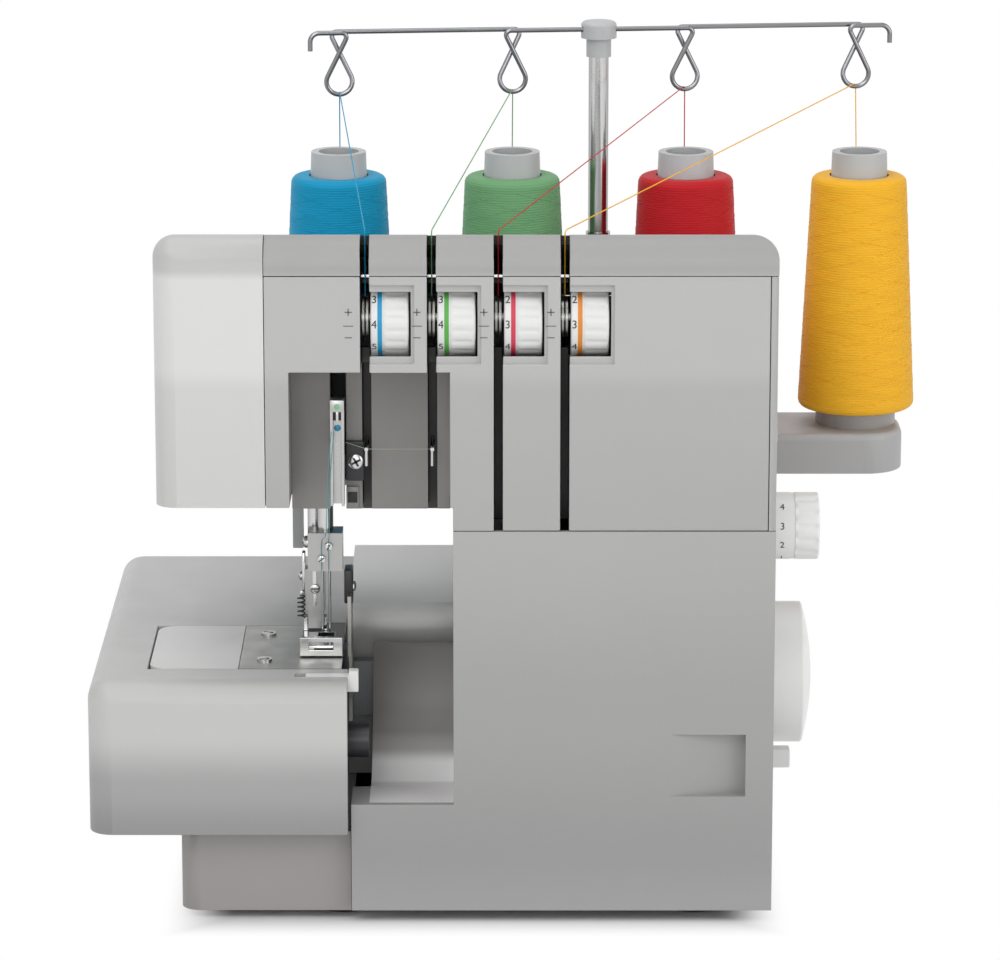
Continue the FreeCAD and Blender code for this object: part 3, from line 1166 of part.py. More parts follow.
def make_looper_cover():
    left, right = cover_left + D.seam, column_right
    front = D.front_y
    chute_right = column_left
    top = D.seam_z - D.seam
    arc_y = behind_front(D.chute_ledge)
    arc_z = D.chute_z + D.chute_r
    wall_back = arc_y + D.chute_r + D.wall
    scoop_left = left + D.chute_in
    cheek_right = chute_right + D.wall
    panel = cut("cover_panel", box("cover_sheet", (left, right), (front, front + D.wall), (D.cover_low, top)),
                box("cover_cutout", (left - 1, chute_right), (front - 1, front + D.wall + 1),
                    (D.chute_z, top + 1)))
    ring = cut("chute_ring",
               rod("chute_outer", "X", (arc_y, arc_z), D.chute_r + D.wall, scoop_left, cheek_right - scoop_left),
               rod("chute_inner", "X", (arc_y, arc_z), D.chute_r, scoop_left - 1, cheek_right - scoop_left + 2))
    hollow = common("chute_hollow", ring, box("chute_quarter", (scoop_left, cheek_right), (arc_y, wall_back),
                                              (D.chute_z - D.wall, arc_z)))
    ledge = box("chute_ledge", (left, cheek_right), (front, arc_y), (D.chute_z - D.wall, D.chute_z))
    cheek = DOC.addObject("PartDesign::Body", "cover_cheek")
    rim = [(front, D.chute_z - D.wall), (wall_back, D.chute_z - D.wall), (wall_back, top - D.cheek_drop), (front, top)]
    feature(cheek, "Pad", "cheek_pad", outline(cheek, "cheek_rim", "YZ_Plane", rim), Length=D.wall)
    place(cheek, chute_right, 0, 0)
    grip_right = column_right - D.grip_right
    grip = (grip_right - D.grip_w, grip_right)
    pocket_wall = D.wall / 1.25
    pocket = box("grip_block", (grip[0] - pocket_wall, grip[1] + pocket_wall), (front, behind_front(D.grip_deep)),
                 (D.grip_low - pocket_wall, D.grip_low + D.grip_h + pocket_wall))
    scoop = DOC.addObject("PartDesign::Body", "grip_scoop")
    wedge = [(grip[0], front - 1), (grip[1], front - 1), (grip[1], behind_front(D.grip_deep) - pocket_wall),
             (grip[0], front)]
    feature(scoop, "Pad", "scoop_pad", outline(scoop, "scoop_rim", "XY_Plane", wedge), Length=D.grip_h)
    place(scoop, 0, 0, D.grip_low)
    eyes, holes = [], []
    for index, start in enumerate((hinge_lugs[0] + D.eye_w + D.swing,
                                   hinge_lugs[1] - D.eye_w - D.cover_slide - D.swing * 2)):
        eyes.append(rod(f"cover_eye_{index}", "X", hinge_at, D.eye_r, start, D.eye_w))
        eyes.append(box(f"cover_web_{index}", (start, start + D.eye_w), (front, hinge_at[0]),
                        (D.hinge_z - D.eye_r / 2, D.hinge_z + D.eye_r / 2)))
        holes.append(rod(f"cover_eye_hole_{index}", "X", hinge_at, D.hinge_r + D.run, start - 1, D.eye_w + 2))
    node("looper_cover", cut("looper_cover",
                             fuse("cover_solid", panel, hollow, ledge, cheek, pocket, *eyes), scoop, *holes))
    rod_left = right_of_needle(D.hinge_left)
    node("cover_hinge_rod", rod("cover_hinge_rod", "X", hinge_at, D.hinge_r, rod_left,
                                side_in - D.hinge_right - rod_left))


def make_side_controls():
    at = (behind_front(D.length_y), D.length_z)
    start = column_right + D.length_gap
    rim = [(0, 0), (0, D.length_r), (D.length_w, D.length_r), (D.length_w, 0)]
    body, spin = turned("length_body", rim, at, start)
    body_fillet(body, "length_soft", spin, D.dial_round,
                lambda edge: near(getattr(edge.Curve, "Radius", 0), D.length_r.value) and edge.BoundBox.XMin > 1)
    stem_start = start - D.length_gap - D.length_in
    stem = rod("length_stem", "X", at, D.length_stem, stem_start, start - stem_start + 1)
    node("length_dial", fuse("length_dial", body, stem))
    y, z = behind_front(D.feed_y), D.feed_z
    half = D.feed_w / 2
    out = column_right + D.swing
    node("feed_lever", fuse(
        "feed_lever",
        box("feed_stem", (side_in - D.swing - D.wall, out + 1), (y - half, y + half), (z - half, z + half)),
        box("feed_nub", (out, out + D.feed_out), (y - half * 1.4, y + half * 1.4), (z - D.feed_h / 2, z + D.feed_h / 2)),
        box("feed_flange", (side_in - D.swing - D.wall, side_in - D.swing), (y - D.feed_w, y + D.feed_w),
            (z - D.feed_w, z + D.feed_w))))
    y, z = behind_front(D.inlet_y), D.inlet_z
    rim = D.inlet_rim
    body = fuse("inlet_solid",
                box("inlet_body", (column_right - D.inlet_in, column_right + rim / 2),
                    (y + D.hair, y + D.inlet_d - D.hair), (z + D.hair, z + D.inlet_h - D.hair)),
                box("inlet_flange", (column_right, column_right + rim), (y - rim, y + D.inlet_d + rim),
                    (z - rim, z + D.inlet_h + rim)))
    mouth = column_right + far
    switch_left = column_right - D.switch_in
    switch_y = y + D.inlet_d - D.switch_d - rim
    switch_z = z + (D.inlet_h - D.switch_h) / 2
    pivot = (column_right - D.panel, z + D.inlet_h / 2)
    pin = rod("switch_pin", "Y", pivot, D.switch_pin, switch_y - D.swing * 3, D.switch_d + D.swing * 6)
    node("power_inlet", fuse("inlet_pinned", pin, cut("inlet_cut", body,
                            box("plug_socket", (column_right - D.inlet_in + rim, mouth),
                                (y + rim, y + rim + D.plug_d), (z + rim, z + D.inlet_h - rim)),
                            box("switch_socket", (switch_left - D.switch_gap, mouth),
                                (switch_y - D.swing, switch_y + D.switch_d + D.swing),
                                (switch_z - D.switch_gap, switch_z + D.switch_h + D.switch_gap)))))
    rocker = box("rocker", (switch_left, column_right + rim + D.switch_out),
                 (switch_y, switch_y + D.switch_d), (switch_z, switch_z + D.switch_h))
    node("power_switch", cut("power_switch", rocker,
                             rod("switch_bore", "Y", pivot, D.switch_pin + D.run, switch_y - 1, D.switch_d + 2)))


def bend_between(first, heading, last, leaving):
    """Two arcs that leave one point along a heading and reach another along its own."""
    step, both = last - first, heading + leaving
    square = 2 - 2 * heading.dot(leaving)
    along = step.dot(both)
    reach = (math.sqrt(along * along + square * step.dot(step)) - along) / square
    corners = [first + heading * reach, last - leaving * reach]
    middle = (corners[0] + corners[1]) / 2
    arcs = []
    for start, corner, end in ((first, corners[0], middle), (middle, corners[1], last)):
        chord = (start + end) / 2
        half = math.asin(min(1, (end - start).Length / 2 / reach))
        sag = reach / math.cos(half) - reach * math.tan(half)
        arcs.append(Part.Arc(start, corner + (chord - corner).normalize() * sag, end))
    return arcs


def wound_turns():
    """The outer turns of one package: an unbroken tube round its cone, from its foot to its shoulder."""
    radius, count = D.turn_r.value, round(D.turn_count.value)
    low, top, tall = D.pack_low.value - radius, D.pack_top.value - radius, D.pack_h.value - radius * 2

    def at(turn):
        share = turn / count
        out, angle = low + (top - low) * share, 2 * math.pi * turn
        return Vector(out * math.cos(angle), out * math.sin(angle), radius + tall * share)

    def heading(turn):
        return (at(turn + 1e-4) - at(turn - 1e-4)).normalize()

    arcs = []
    for half in range(count * 2):
        arcs += bend_between(at(half / 2), heading(half / 2), at((half + 1) / 2), heading((half + 1) / 2))
    spots = [at(step / 32) for step in range(count * 32 + 1)]
    least = min((one - two).Length for index, one in enumerate(spots) for two in spots[index + 16:index + 64])
    print(f"least gap between turns {least - radius * 2:.2f} mm")
    ring = Part.Wire([Part.Circle(at(0), heading(0), radius).toShape()])
    return Part.Wire([arc.toShape() for arc in arcs]).makePipeShell([ring], True, False)


def make_stand():
    left = left_of_needle(D.stand_left)
    right = left + D.stand_w
    front = behind_front(D.column_d) + D.seam
    step, arm_back = column_right - D.stand_step, front + D.stand_arm
    block = cut("stand_block", box("stand_full", (left, right), (front, stand_back), (D.stand_low, stand_top)),
                box("stand_notch", (step, right + far), (arm_back, stand_back + far),
                    (D.stand_low - far, stand_top + far)))
    corners = round_edges("stand_corner", block, D.stand_round,
                          lambda edge: runs_along(edge, "Z", x=left) or runs_along(edge, "Z", x=right))
    soft = round_edges("stand_soft", corners, D.stand_edge, lambda edge: near(edge.BoundBox.ZMin, stand_top.value))
    air = D.stand_wall
    room_z = (D.stand_low - far, stand_top - D.panel)
    node("spool_stand", cut("spool_stand", soft,
                            box("stand_air", (left + air, step - air), (front + air, stand_back - air), room_z),
                            box("stand_arm_air", (step - air - 1, right - air), (front + air, arm_back - air), room_z)))
    pins, cores = [], []
    winding = wound_turns()
    seat_top = stand_top + D.seat_h
    for index, (spot, colour) in enumerate(zip(CONES, DIAL_COLOURS)):
        at = (spot, cone_y)
        pins.append(fuse(f"pin_{index}", rod(f"seat_{index}", "Z", at, D.seat_r, stand_top, D.seat_h),
                         rod(f"pole_{index}", "Z", at, D.pin_pole, stand_top, D.pin_h)))
        cores.append(cut(f"core_{index}",
                         taper(f"core_cone_{index}", "Z", at, D.core_low, D.core_top, seat_top, D.core_h),
                         rod(f"core_bore_{index}", "Z", at, D.core_bore, seat_top - 1, D.core_h + 2)))
        sunk = D.turn_r * 2 + D.turn_gap
        outer = taper(f"pack_{index}", "Z", at, D.pack_low - sunk, D.pack_top - sunk, seat_top + D.swing, D.pack_h)
        soft_pack = round_edges(f"pack_soft_{index}", outer, D.pack_round,
                                lambda edge: edge.Curve.TypeId == "Part::GeomCircle")
        inner = taper(f"pack_air_{index}", "Z", at, D.core_low + D.hair, D.core_top + D.hair, seat_top, D.core_h)
        turns = DOC.addObject("Part::Feature", f"turns_{index}")
        turns.Shape = winding
        place(turns, spot, cone_y, seat_top + D.swing)
        node(f"thread_cone_{colour}", group(f"thread_cone_{colour}",
                                            cut(f"thread_pack_{index}", soft_pack, inner), turns))
    node("spool_pins", group("spool_pins", *pins))
    node("cone_cores", group("cone_cores", *cores))


def make_antenna():
    at = (right_of_needle(D.pole_x), behind_front(D.pole_y))
    bore = D.pole_r + D.run
    outer = rod("antenna_outer", "Z", at, bore + D.pole_wall, stand_top, D.pole_mid - stand_top)
    node("antenna_tube", cut("antenna_tube", outer,
                             rod("antenna_bore", "Z", at, bore, stand_top + D.panel, D.pole_mid)))
    node("antenna_slider", rod("antenna_slider", "Z", at, D.pole_r, D.pole_low, D.pole_top - D.pole_low))
    neck = rod("cap_neck_rod", "Z", at, D.cap_neck, D.cap_low, D.cap_mid - D.cap_low)
    head = rod("cap_head", "Z", at, D.cap_r, D.cap_mid, D.cap_top - D.cap_mid)
    soft = round_edges("cap_soft", head, D.cap_r / 4, lambda edge: near(edge.BoundBox.ZMin, D.cap_top.value))
    bar, path = guide_bar(at)
    clear = DOC.addObject("Part::Feature", "cap_wire_bore")
    step = Vector(D.cap_r.value + 1, 0, 0)
    clear.Shape = Part.makeBox(step.x * 2, D.eye_side.value * 2 + D.wire_r.value * 2.1, D.wire_r.value * 2.1,
                               Vector(-step.x, -D.eye_side.value - D.wire_r.value * 1.05, -D.wire_r.value * 1.05))
    clear.Placement = path
    node("antenna_cap", cut("antenna_cap", fuse("cap_solid", neck, soft), clear,
                            rod("cap_bore", "Z", at, D.pole_r + D.hair, D.cap_low - 1, D.pole_top - D.cap_low + 1)))
    node("guide_bar", bar)
    make_threads(path)


def eye_bends(side):
    """Half of one thread eye, from the bar to its low middle: arc, straight and arc, leaning sideways."""
    lean = math.radians(90 + D.eye_lean.value)
    high, low, drop = D.eye_small.value, D.eye_big.value, D.eye_low.value
    sine, cosine = math.sin(lean), math.cos(lean)
    straight = (drop - (high + low) * (1 - cosine)) / sine
    start = -(high + low) * sine - straight * cosine

    def point(across, down):
        return Vector(across, side * (1 - down / drop) * D.eye_side.value, -down)

    def high_arc(angle):
        return point(start + high * math.sin(angle), high * (1 - math.cos(angle)))

    def low_arc(angle):
        return point(-low * math.sin(angle), drop - low * (1 - math.cos(angle)))

    return [("arc", high_arc(0), high_arc(lean / 2), high_arc(lean)),
            ("line", high_arc(lean), low_arc(lean)),
            ("arc", low_arc(lean), low_arc(lean / 2), low_arc(0))]


def eye_middles():
    """Where the four eyes hang along the bar, from the antenna: over the cones."""
    pole = right_of_needle(D.pole_x)
    return [(spot - pole).value for spot in CONES]


def guide_bar(at):
    """The guide bar: one bent wire with four hanging eyes, along X before its turn about the antenna."""
    edges = []
    hook = D.wire_hook.value
    spots = eye_middles()
    last = None

    def line_to(goal):
        nonlocal last
        if (goal - last).Length > 1e-6:
            edges.append(Part.LineSegment(last, goal))
        last = goal

    def arc_to(middle, goal):
        nonlocal last
        edges.append(Part.Arc(last, middle, goal))
        last = goal

    bow = hook * math.sqrt(0.5)
    side = -1
    rest = side * D.eye_side.value
    last = Vector(-D.wire_left.value - hook, rest, -hook * 2)
    line_to(Vector(-D.wire_left.value - hook, rest, -hook))
    arc_to(Vector(-D.wire_left.value - bow, rest, bow - hook), Vector(-D.wire_left.value, rest, 0))
    for spot in spots:
        shift = Vector(spot, 0, 0)
        bends = eye_bends(side)
        line_to(bends[0][1] + shift)
        for kind, *points in bends:
            if kind == "arc":
                arc_to(points[1] + shift, points[2] + shift)
            else:
                line_to(points[1] + shift)
        for kind, *points in reversed(eye_bends(-side)):
            turned_points = [Vector(-item.x, item.y, item.z) + shift for item in reversed(points)]
            if kind == "arc":
                arc_to(turned_points[1], turned_points[2])
            else:
                line_to(turned_points[1])
        side = -side
    rest = side * D.eye_side.value
    line_to(Vector(D.wire_right.value, rest, 0))
    arc_to(Vector(D.wire_right.value + bow, rest, bow - hook), Vector(D.wire_right.value + hook, rest, -hook))
    line_to(Vector(D.wire_right.value + hook, rest, -hook * 2))
    spine = Part.Wire([edge.toShape() for edge in edges])
    first = edges[0].StartPoint
    ring = Part.Wire([Part.Circle(first, Vector(0, 0, 1), D.wire_r.value).toShape()])
    bar = DOC.addObject("Part::Feature", "guide_bar")
    bar.Shape = spine.makePipeShell([ring], True, False)
    path = Placement(Vector(at[0].value, at[1].value, D.wire_z.value),
                     Rotation(Vector(0, 0, 1), D.wire_turn.value))
    bar.Placement = path
    return bar, path


def make_threads(path):
    """Four threads: each from its cone, over its eye and into its slot down to the tension discs."""
    solids = []
    radius = D.thread_r.value
    bend = D.wire_r.value + radius + D.hair.value * 30
    for index, (spot, slot, middle) in enumerate(zip(CONES, SLOTS, eye_middles())):
        eye = path.multVec(Vector(middle, 0, 0))
        start = Vector(spot.value, cone_y.value + D.thread_out.value,
                       (stand_top + D.seat_h + D.swing + D.pack_h).value + radius)
        wire = Vector(eye.x, eye.y, D.wire_z.value - D.eye_low.value)
        mouth = Vector(slot.value, behind_front(D.thread_in).value, D.thread_z.value)
        end = Vector(slot.value, behind_front(D.thread_in).value - 1, D.thread_end.value)
        lean, run = (start - wire).normalize(), (mouth - wire).normalize()
        away = (lean + run).normalize()
        over = wire - away * (bend / math.sin(lean.getAngle(run) / 2))
        solids.append(strand(f"strand_{index}", [start, over, mouth, end], radius, bend))
    node("threads", group("threads", *solids))


def strand(name, corners, radius, bend):
    """A tight thread through its corners, each corner rounded by a small bend."""
    edges = []
    last = corners[0]
    for before, corner, after in zip(corners, corners[1:], corners[2:]):
        inward, outward = (before - corner).normalize(), (after - corner).normalize()
        half = inward.getAngle(outward) / 2
        reach = bend / math.tan(half)
        first, final = corner + inward * reach, corner + outward * reach
        middle_line = (inward + outward).normalize()
        middle = corner + middle_line * (bend / math.sin(half) - bend)
        edges += [Part.LineSegment(last, first).toShape(), Part.Arc(first, middle, final).toShape()]
        last = final
    edges.append(Part.LineSegment(last, corners[-1]).toShape())
    heading = (corners[1] - corners[0]).normalize()
    ring = Part.Wire([Part.Circle(corners[0], heading, radius).toShape()])
    made = DOC.addObject("Part::Feature", name)
    made.Shape = Part.Wire(edges).makePipeShell([ring], True, False)
    return made


def make_trim():
    screws = [rod(f"plate_screw_{index}", "Z", (left_of_needle(D.screw_x), behind_front(deep)), D.screw_r,
                  D.bed_z, D.screw_h) for index, deep in enumerate((D.screw_front, D.screw_back))]
    node("plate_screws", group("plate_screws", *screws))
    back = behind_front(D.recess_d)
    hooks = []
    for index, x in enumerate(SLOTS[:2]):
        hooks.append(fuse(f"hook_{index}",
                          rod(f"hook_arm_{index}", "Y", (x, D.hook_z), D.hook_r,
                              back - D.hook_out, D.hook_out + D.groove_d),
                          rod(f"hook_drop_{index}", "Z", (x, back - D.hook_out + D.hook_r),
                              D.hook_r, D.hook_z - D.hook_drop, D.hook_drop)))
    half = D.slot_w / 2
    for index, spot in enumerate(SLOTS):
        hooks.append(rod(f"mouth_{index}", "X", (behind_front(D.slot_deep) - D.hook_r * 3, D.lid_z - D.hook_r * 4),
                         D.hook_r, spot - half, D.slot_w))
    node("thread_guides", group("thread_guides", *hooks))
    left = right_of_needle(D.ledge_left)
    node("guide_bracket", box("guide_bracket", (left, left + D.ledge_w), (back - D.ledge_t, back),
                              (D.ledge_low, D.ledge_low + D.ledge_h)))
    left = right_of_needle(D.lamp_left)
    front = behind_front(D.lamp_y)
    node("work_lamp", box("work_lamp", (left, left + D.lamp_w), (front, front + D.lamp_d),
                          (D.head_z - D.lamp_h, D.head_z)))


make_base()
make_frame()
make_drive()
make_front_panel()
make_top_cover()
make_rear_cover()
make_side_cover()
make_face_cover()
make_bed()
make_knives()
make_dials()
make_needle_bar()
make_presser()
looper("lower_looper", D.lower_x, D.lower_z, D.lower_y, D.lower_rise, D.lower_hook)
looper("upper_looper", D.upper_x, D.upper_z, D.upper_y, D.upper_rise, D.upper_hook)
make_table()
make_looper_cover()
make_side_controls()
make_stand()
make_antenna()
make_trim()
DOC.recompute()

faults = [item.Label for item in DOC.Objects if {"Invalid", "Error"} & set(item.State)]
for name, piece in NODES.items():
    shape = piece.Shape
    if shape.isNull() or not shape.isValid() or not shape.Solids or shape.Volume <= 0:
        faults.append(name)
if faults:
    raise RuntimeError("not sound: " + ", ".join(faults))
os.makedirs("parts", exist_ok=True)
whole = FreeCAD.BoundBox()
for name, piece in NODES.items():
    piece.Shape.exportStep(f"parts/{name}.step")
    whole.add(piece.Shape.BoundBox)
    print(f"{name}: {len(piece.Shape.Solids)} solid(s), {piece.Shape.Volume / 1000:.2f} cm3")
print(len(NODES), "nodes", whole)
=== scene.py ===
"""Looks of a serger overlock machine: thread, materials, dial marks and small hardware over its CAD frame."""

import math

import bmesh
import bpy
from mathutils import Matrix, Vector


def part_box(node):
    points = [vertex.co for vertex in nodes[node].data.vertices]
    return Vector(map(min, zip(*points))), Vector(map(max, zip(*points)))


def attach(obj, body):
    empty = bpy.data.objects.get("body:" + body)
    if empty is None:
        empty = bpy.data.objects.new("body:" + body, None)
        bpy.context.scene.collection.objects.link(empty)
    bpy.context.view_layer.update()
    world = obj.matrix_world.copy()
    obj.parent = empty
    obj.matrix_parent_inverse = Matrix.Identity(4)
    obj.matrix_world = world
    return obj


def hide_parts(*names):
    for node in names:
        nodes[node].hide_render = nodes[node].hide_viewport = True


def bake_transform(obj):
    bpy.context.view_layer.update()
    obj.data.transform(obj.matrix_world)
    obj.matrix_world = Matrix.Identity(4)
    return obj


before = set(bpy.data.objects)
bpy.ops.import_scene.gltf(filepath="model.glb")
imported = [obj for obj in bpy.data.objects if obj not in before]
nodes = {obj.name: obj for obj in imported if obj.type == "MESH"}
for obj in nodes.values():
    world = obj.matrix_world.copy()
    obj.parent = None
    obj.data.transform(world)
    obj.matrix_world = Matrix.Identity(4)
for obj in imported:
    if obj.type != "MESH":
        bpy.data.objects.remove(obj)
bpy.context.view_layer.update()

# the camera, in metres; its lens in millimetres
LENS, SENSOR = 181.4, 36
CAMERA_AT = (-0.00867, -2.13215, 0.6695)
CAMERA_AIM = (-0.00867, -0.13215, 0.1895)

# places on the CAD frame, in millimetres
FRONT = -132.15
BED_Z = 104
COLOURS = ("blue", "green", "red", "yellow")
SLOTS = (-63.57, -36.47, -9.37, 17.73)
SLOT_HALF = 1.95
MARKS = (-70.17, -42.37, -15.23, 11.98)
DIAL_Y, DIAL_Z, DIAL_R = -115.15, 254.0, 16.5
DIAL_FLUTES, DIAL_DEEP = 20, 0.5
LENGTH_LEFT, LENGTH_Y, LENGTH_Z, LENGTH_R = 105.13, -72.15, 155.4, 14.1
LENGTH_FLUTES, LENGTH_DEEP = 14, 0.7
CONES = (-81.17, -3.17, 74.83, 152.83)
CONE_Y = 102.85
CONE_LOW, CONE_TALL, CONE_FOOT, CONE_TOP = 168.3, 106.0, 26.5, 21.4
CORE_FOOT, CORE_TOP = 17.2, 13.3
NEEDLE_X, NEEDLE_Y = -82.27, -69.15
NEEDLES = (NEEDLE_X - 1.5, NEEDLE_X + 1.5)

# the routes of the threads, in millimetres
THREAD_RADIUS, FINE_RADIUS = 0.25, 0.15
THREAD_Y, THREAD_Z = CONE_Y + 19.8, 274.6
EYES = ((-80.59, 104.24, 311.9), (-2.98, 111.99, 311.9), (74.64, 119.73, 311.9), (152.25, 127.48, 311.9))
MOUTH_Y, MOUTH_Z = FRONT + 12, 290.8
DISC_Y, DISC_Z = FRONT + 11, 264.0
RECESS_START = (-72.4, -110.8, 200.4)
RECESS_HOOKS = ((-63.57, -113.0, 198.0), (-36.47, -113.0, 198.0))

# the floor near the machine, which keeps its shadow, in metres; the fade is in shares of the half size
SHADOW_CENTRE = (-0.0187, -0.035, 0.0)
SHADOW_HALF = (0.112, 0.1)
SHADOW_FADE = (0.9, 1.18)
FLOOR_SPAN = 6.0
ROOM_LIGHT, BACKDROP_LIGHT = 0.42, 1.0


def mm(x, y, z):
    """A point given in millimetres."""
    return Vector((x, y, z)) / 1000


def tint(code, share=1.0):
    """A shader colour from its hex code, made darker or lighter by a share."""
    channels = [int(code[start:start + 2], 16) / 255 for start in (0, 2, 4)]
    flat = [c / 12.92 if c <= 0.04045 else ((c + 0.055) / 1.055) ** 2.4 for c in channels]
    return [min(1.0, c * share) for c in flat] + [1.0]


def facing(spot, aim):
    """The turn of a camera or a light at one place that looks at another."""
    return (Vector(aim) - Vector(spot)).to_track_quat("-Z", "Y").to_euler()


# camera


def make_camera():
    lens = bpy.data.cameras.new("photo_view")
    lens.lens = LENS
    lens.sensor_width = SENSOR
    made = bpy.data.objects.new("photo_view", lens)
    made.location = CAMERA_AT
    made.rotation_euler = facing(CAMERA_AT, CAMERA_AIM)
    bpy.context.scene.collection.objects.link(made)
    bpy.context.scene.camera = made


# materials


def surface(name, code, rough, metal=0.0):
    """A new material, its node tree, its shader and the place on the piece."""
    made = bpy.data.materials.new(name)
    made.use_nodes = True
    tree = made.node_tree
    shade = tree.nodes["Principled BSDF"]
    shade.inputs["Base Color"].default_value = tint(code)
    shade.inputs["Roughness"].default_value = rough
    shade.inputs["Metallic"].default_value = metal
    place = tree.nodes.new("ShaderNodeTexCoord").outputs["Object"]
    return made, tree, shade, place


def noise(tree, place, scale, detail=2.0, stretch=(1, 1, 1)):
    mapping = tree.nodes.new("ShaderNodeMapping")
    mapping.inputs["Scale"].default_value = stretch
    tree.links.new(place, mapping.inputs["Vector"])
    made = tree.nodes.new("ShaderNodeTexNoise")
    made.inputs["Scale"].default_value = scale
    made.inputs["Detail"].default_value = detail
    tree.links.new(mapping.outputs["Vector"], made.inputs["Vector"])
    return made.outputs["Fac"]


def spread(tree, factor, low, high, target):
    """Feeds a socket a number between two values."""
    made = tree.nodes.new("ShaderNodeMapRange")
    made.inputs["From Min"].default_value = 0.3
    made.inputs["From Max"].default_value = 0.7
    made.inputs["To Min"].default_value = low
    made.inputs["To Max"].default_value = high
    tree.links.new(factor, made.inputs["Value"])
    tree.links.new(made.outputs["Result"], target)


def blend_colour(tree, factor, first, second, target):
    """Feeds a colour socket a mix of two colours; either may be a code's colour or a socket."""
    made = tree.nodes.new("ShaderNodeMix")
    made.data_type = "RGBA"
    for socket, colour in ((made.inputs["A"], first), (made.inputs["B"], second)):
        if isinstance(colour, list):
            socket.default_value = colour
        else:
            tree.links.new(colour, socket)
    tree.links.new(factor, made.inputs["Factor"])
    tree.links.new(made.outputs["Result"], target)


def vector_math(tree, kind, first, second=None):
    """A vector socket worked out from another one and, where the kind needs it, a constant."""
    made = tree.nodes.new("ShaderNodeVectorMath")
    made.operation = kind
    tree.links.new(first, made.inputs[0])
    if second is not None:
        made.inputs[1].default_value = second
    return made.outputs["Vector"]


def largest(tree, sockets):
    """The largest of several number sockets."""
    total = sockets[0]
    for socket in sockets[1:]:
        larger = tree.nodes.new("ShaderNodeMath")
        larger.operation = "MAXIMUM"
        tree.links.new(total, larger.inputs[0])
        tree.links.new(socket, larger.inputs[1])
        total = larger.outputs["Value"]
    return total


def bump(tree, shade, height, distance):
    made = tree.nodes.new("ShaderNodeBump")
    made.inputs["Strength"].default_value = 1.0
    made.inputs["Distance"].default_value = distance
    tree.links.new(height, made.inputs["Height"])
    tree.links.new(made.outputs["Normal"], shade.inputs["Normal"])


def height_colour(tree, place, stops, share=1.0):
    """A colour painted lighter and darker by height, as painted light and shade: stops are (millimetres, colour code),
    from low to high.
    """
    parts = tree.nodes.new("ShaderNodeSeparateXYZ")
    tree.links.new(place, parts.inputs["Vector"])
    level = tree.nodes.new("ShaderNodeMapRange")
    lowest, highest = stops[0][0], stops[-1][0]
    level.inputs["From Min"].default_value = lowest / 1000
    level.inputs["From Max"].default_value = highest / 1000
    tree.links.new(parts.outputs["Z"], level.inputs["Value"])
    ramp = tree.nodes.new("ShaderNodeValToRGB")
    ramp.color_ramp.interpolation = "EASE"
    steps = ramp.color_ramp.elements
    for index, (height, code) in enumerate(stops):
        spot = (height - lowest) / (highest - lowest)
        step = steps[0] if index == 0 else steps[-1] if index == len(stops) - 1 else steps.new(spot)
        step.color = tint(code, share)
    tree.links.new(level.outputs["Result"], ramp.inputs["Fac"])
    return ramp.outputs["Color"]


def plastic(name, code, rough=0.42, grain=0.00004, vary=0.025):
    """Moulded plastic with a fine grain and a faint unevenness; its colour may be painted lighter and darker by height,
    as painted light and shade.
    """
    plain = isinstance(code, str)
    made, tree, shade, place = surface(name, code if plain else code[0][1], rough)
    dim, bright = (tint(code, share) if plain else height_colour(tree, place, code, share)
                   for share in (1 - vary, 1 + vary))
    blend_colour(tree, noise(tree, place, 11), dim, bright, shade.inputs["Base Color"])
    spread(tree, noise(tree, place, 60), rough - 0.05, rough + 0.05, shade.inputs["Roughness"])
    bump(tree, shade, noise(tree, place, 1600, 3), grain)
    return made


def metal(name, code, rough=0.2, stretch=(1, 1, 30), vary=0.06):
    """Bare metal with a drawn or brushed grain along one way."""
    made, tree, shade, place = surface(name, code, rough, 1.0)
    lines = noise(tree, place, 420, 3, stretch)
    blend_colour(tree, lines, tint(code, 1 - vary), tint(code, 1 + vary), shade.inputs["Base Color"])
    spread(tree, noise(tree, place, 90), rough - 0.06, rough + 0.08, shade.inputs["Roughness"])
    bump(tree, shade, lines, 0.000008)
    return made


def chrome(name, code, rim_reflection):
    """Polished plate whose colour is painted darker towards its rims, a painted reflection of the kind bright metal
    shows in a white room.
    """
    made = metal(name, code, 0.1)
    tree = made.node_tree
    shade = tree.nodes["Principled BSDF"]
    before = shade.inputs["Base Color"].links[0].from_socket
    weight = tree.nodes.new("ShaderNodeLayerWeight")
    weight.inputs["Blend"].default_value = 0.42
    blend_colour(tree, weight.outputs["Facing"], before, tint(rim_reflection), shade.inputs["Base Color"])
    return made


def thread_look(name, code):
    """Sewing thread: a fine twist over a slight change of colour from lay to lay."""
    made, tree, shade, place = surface(name, code, 0.62)
    lays = noise(tree, place, 55, 3, (1, 1, 9))
    blend_colour(tree, lays, tint(code, 0.90), tint(code, 1.08), shade.inputs["Base Color"])
    shade.inputs["Specular IOR Level"].default_value = 0.25
    shade.inputs["Sheen Weight"].default_value = 0.12
    shade.inputs["Sheen Roughness"].default_value = 0.4
    bump(tree, shade, noise(tree, place, 900, 2, (1, 1, 5)), 0.00008)
    return made


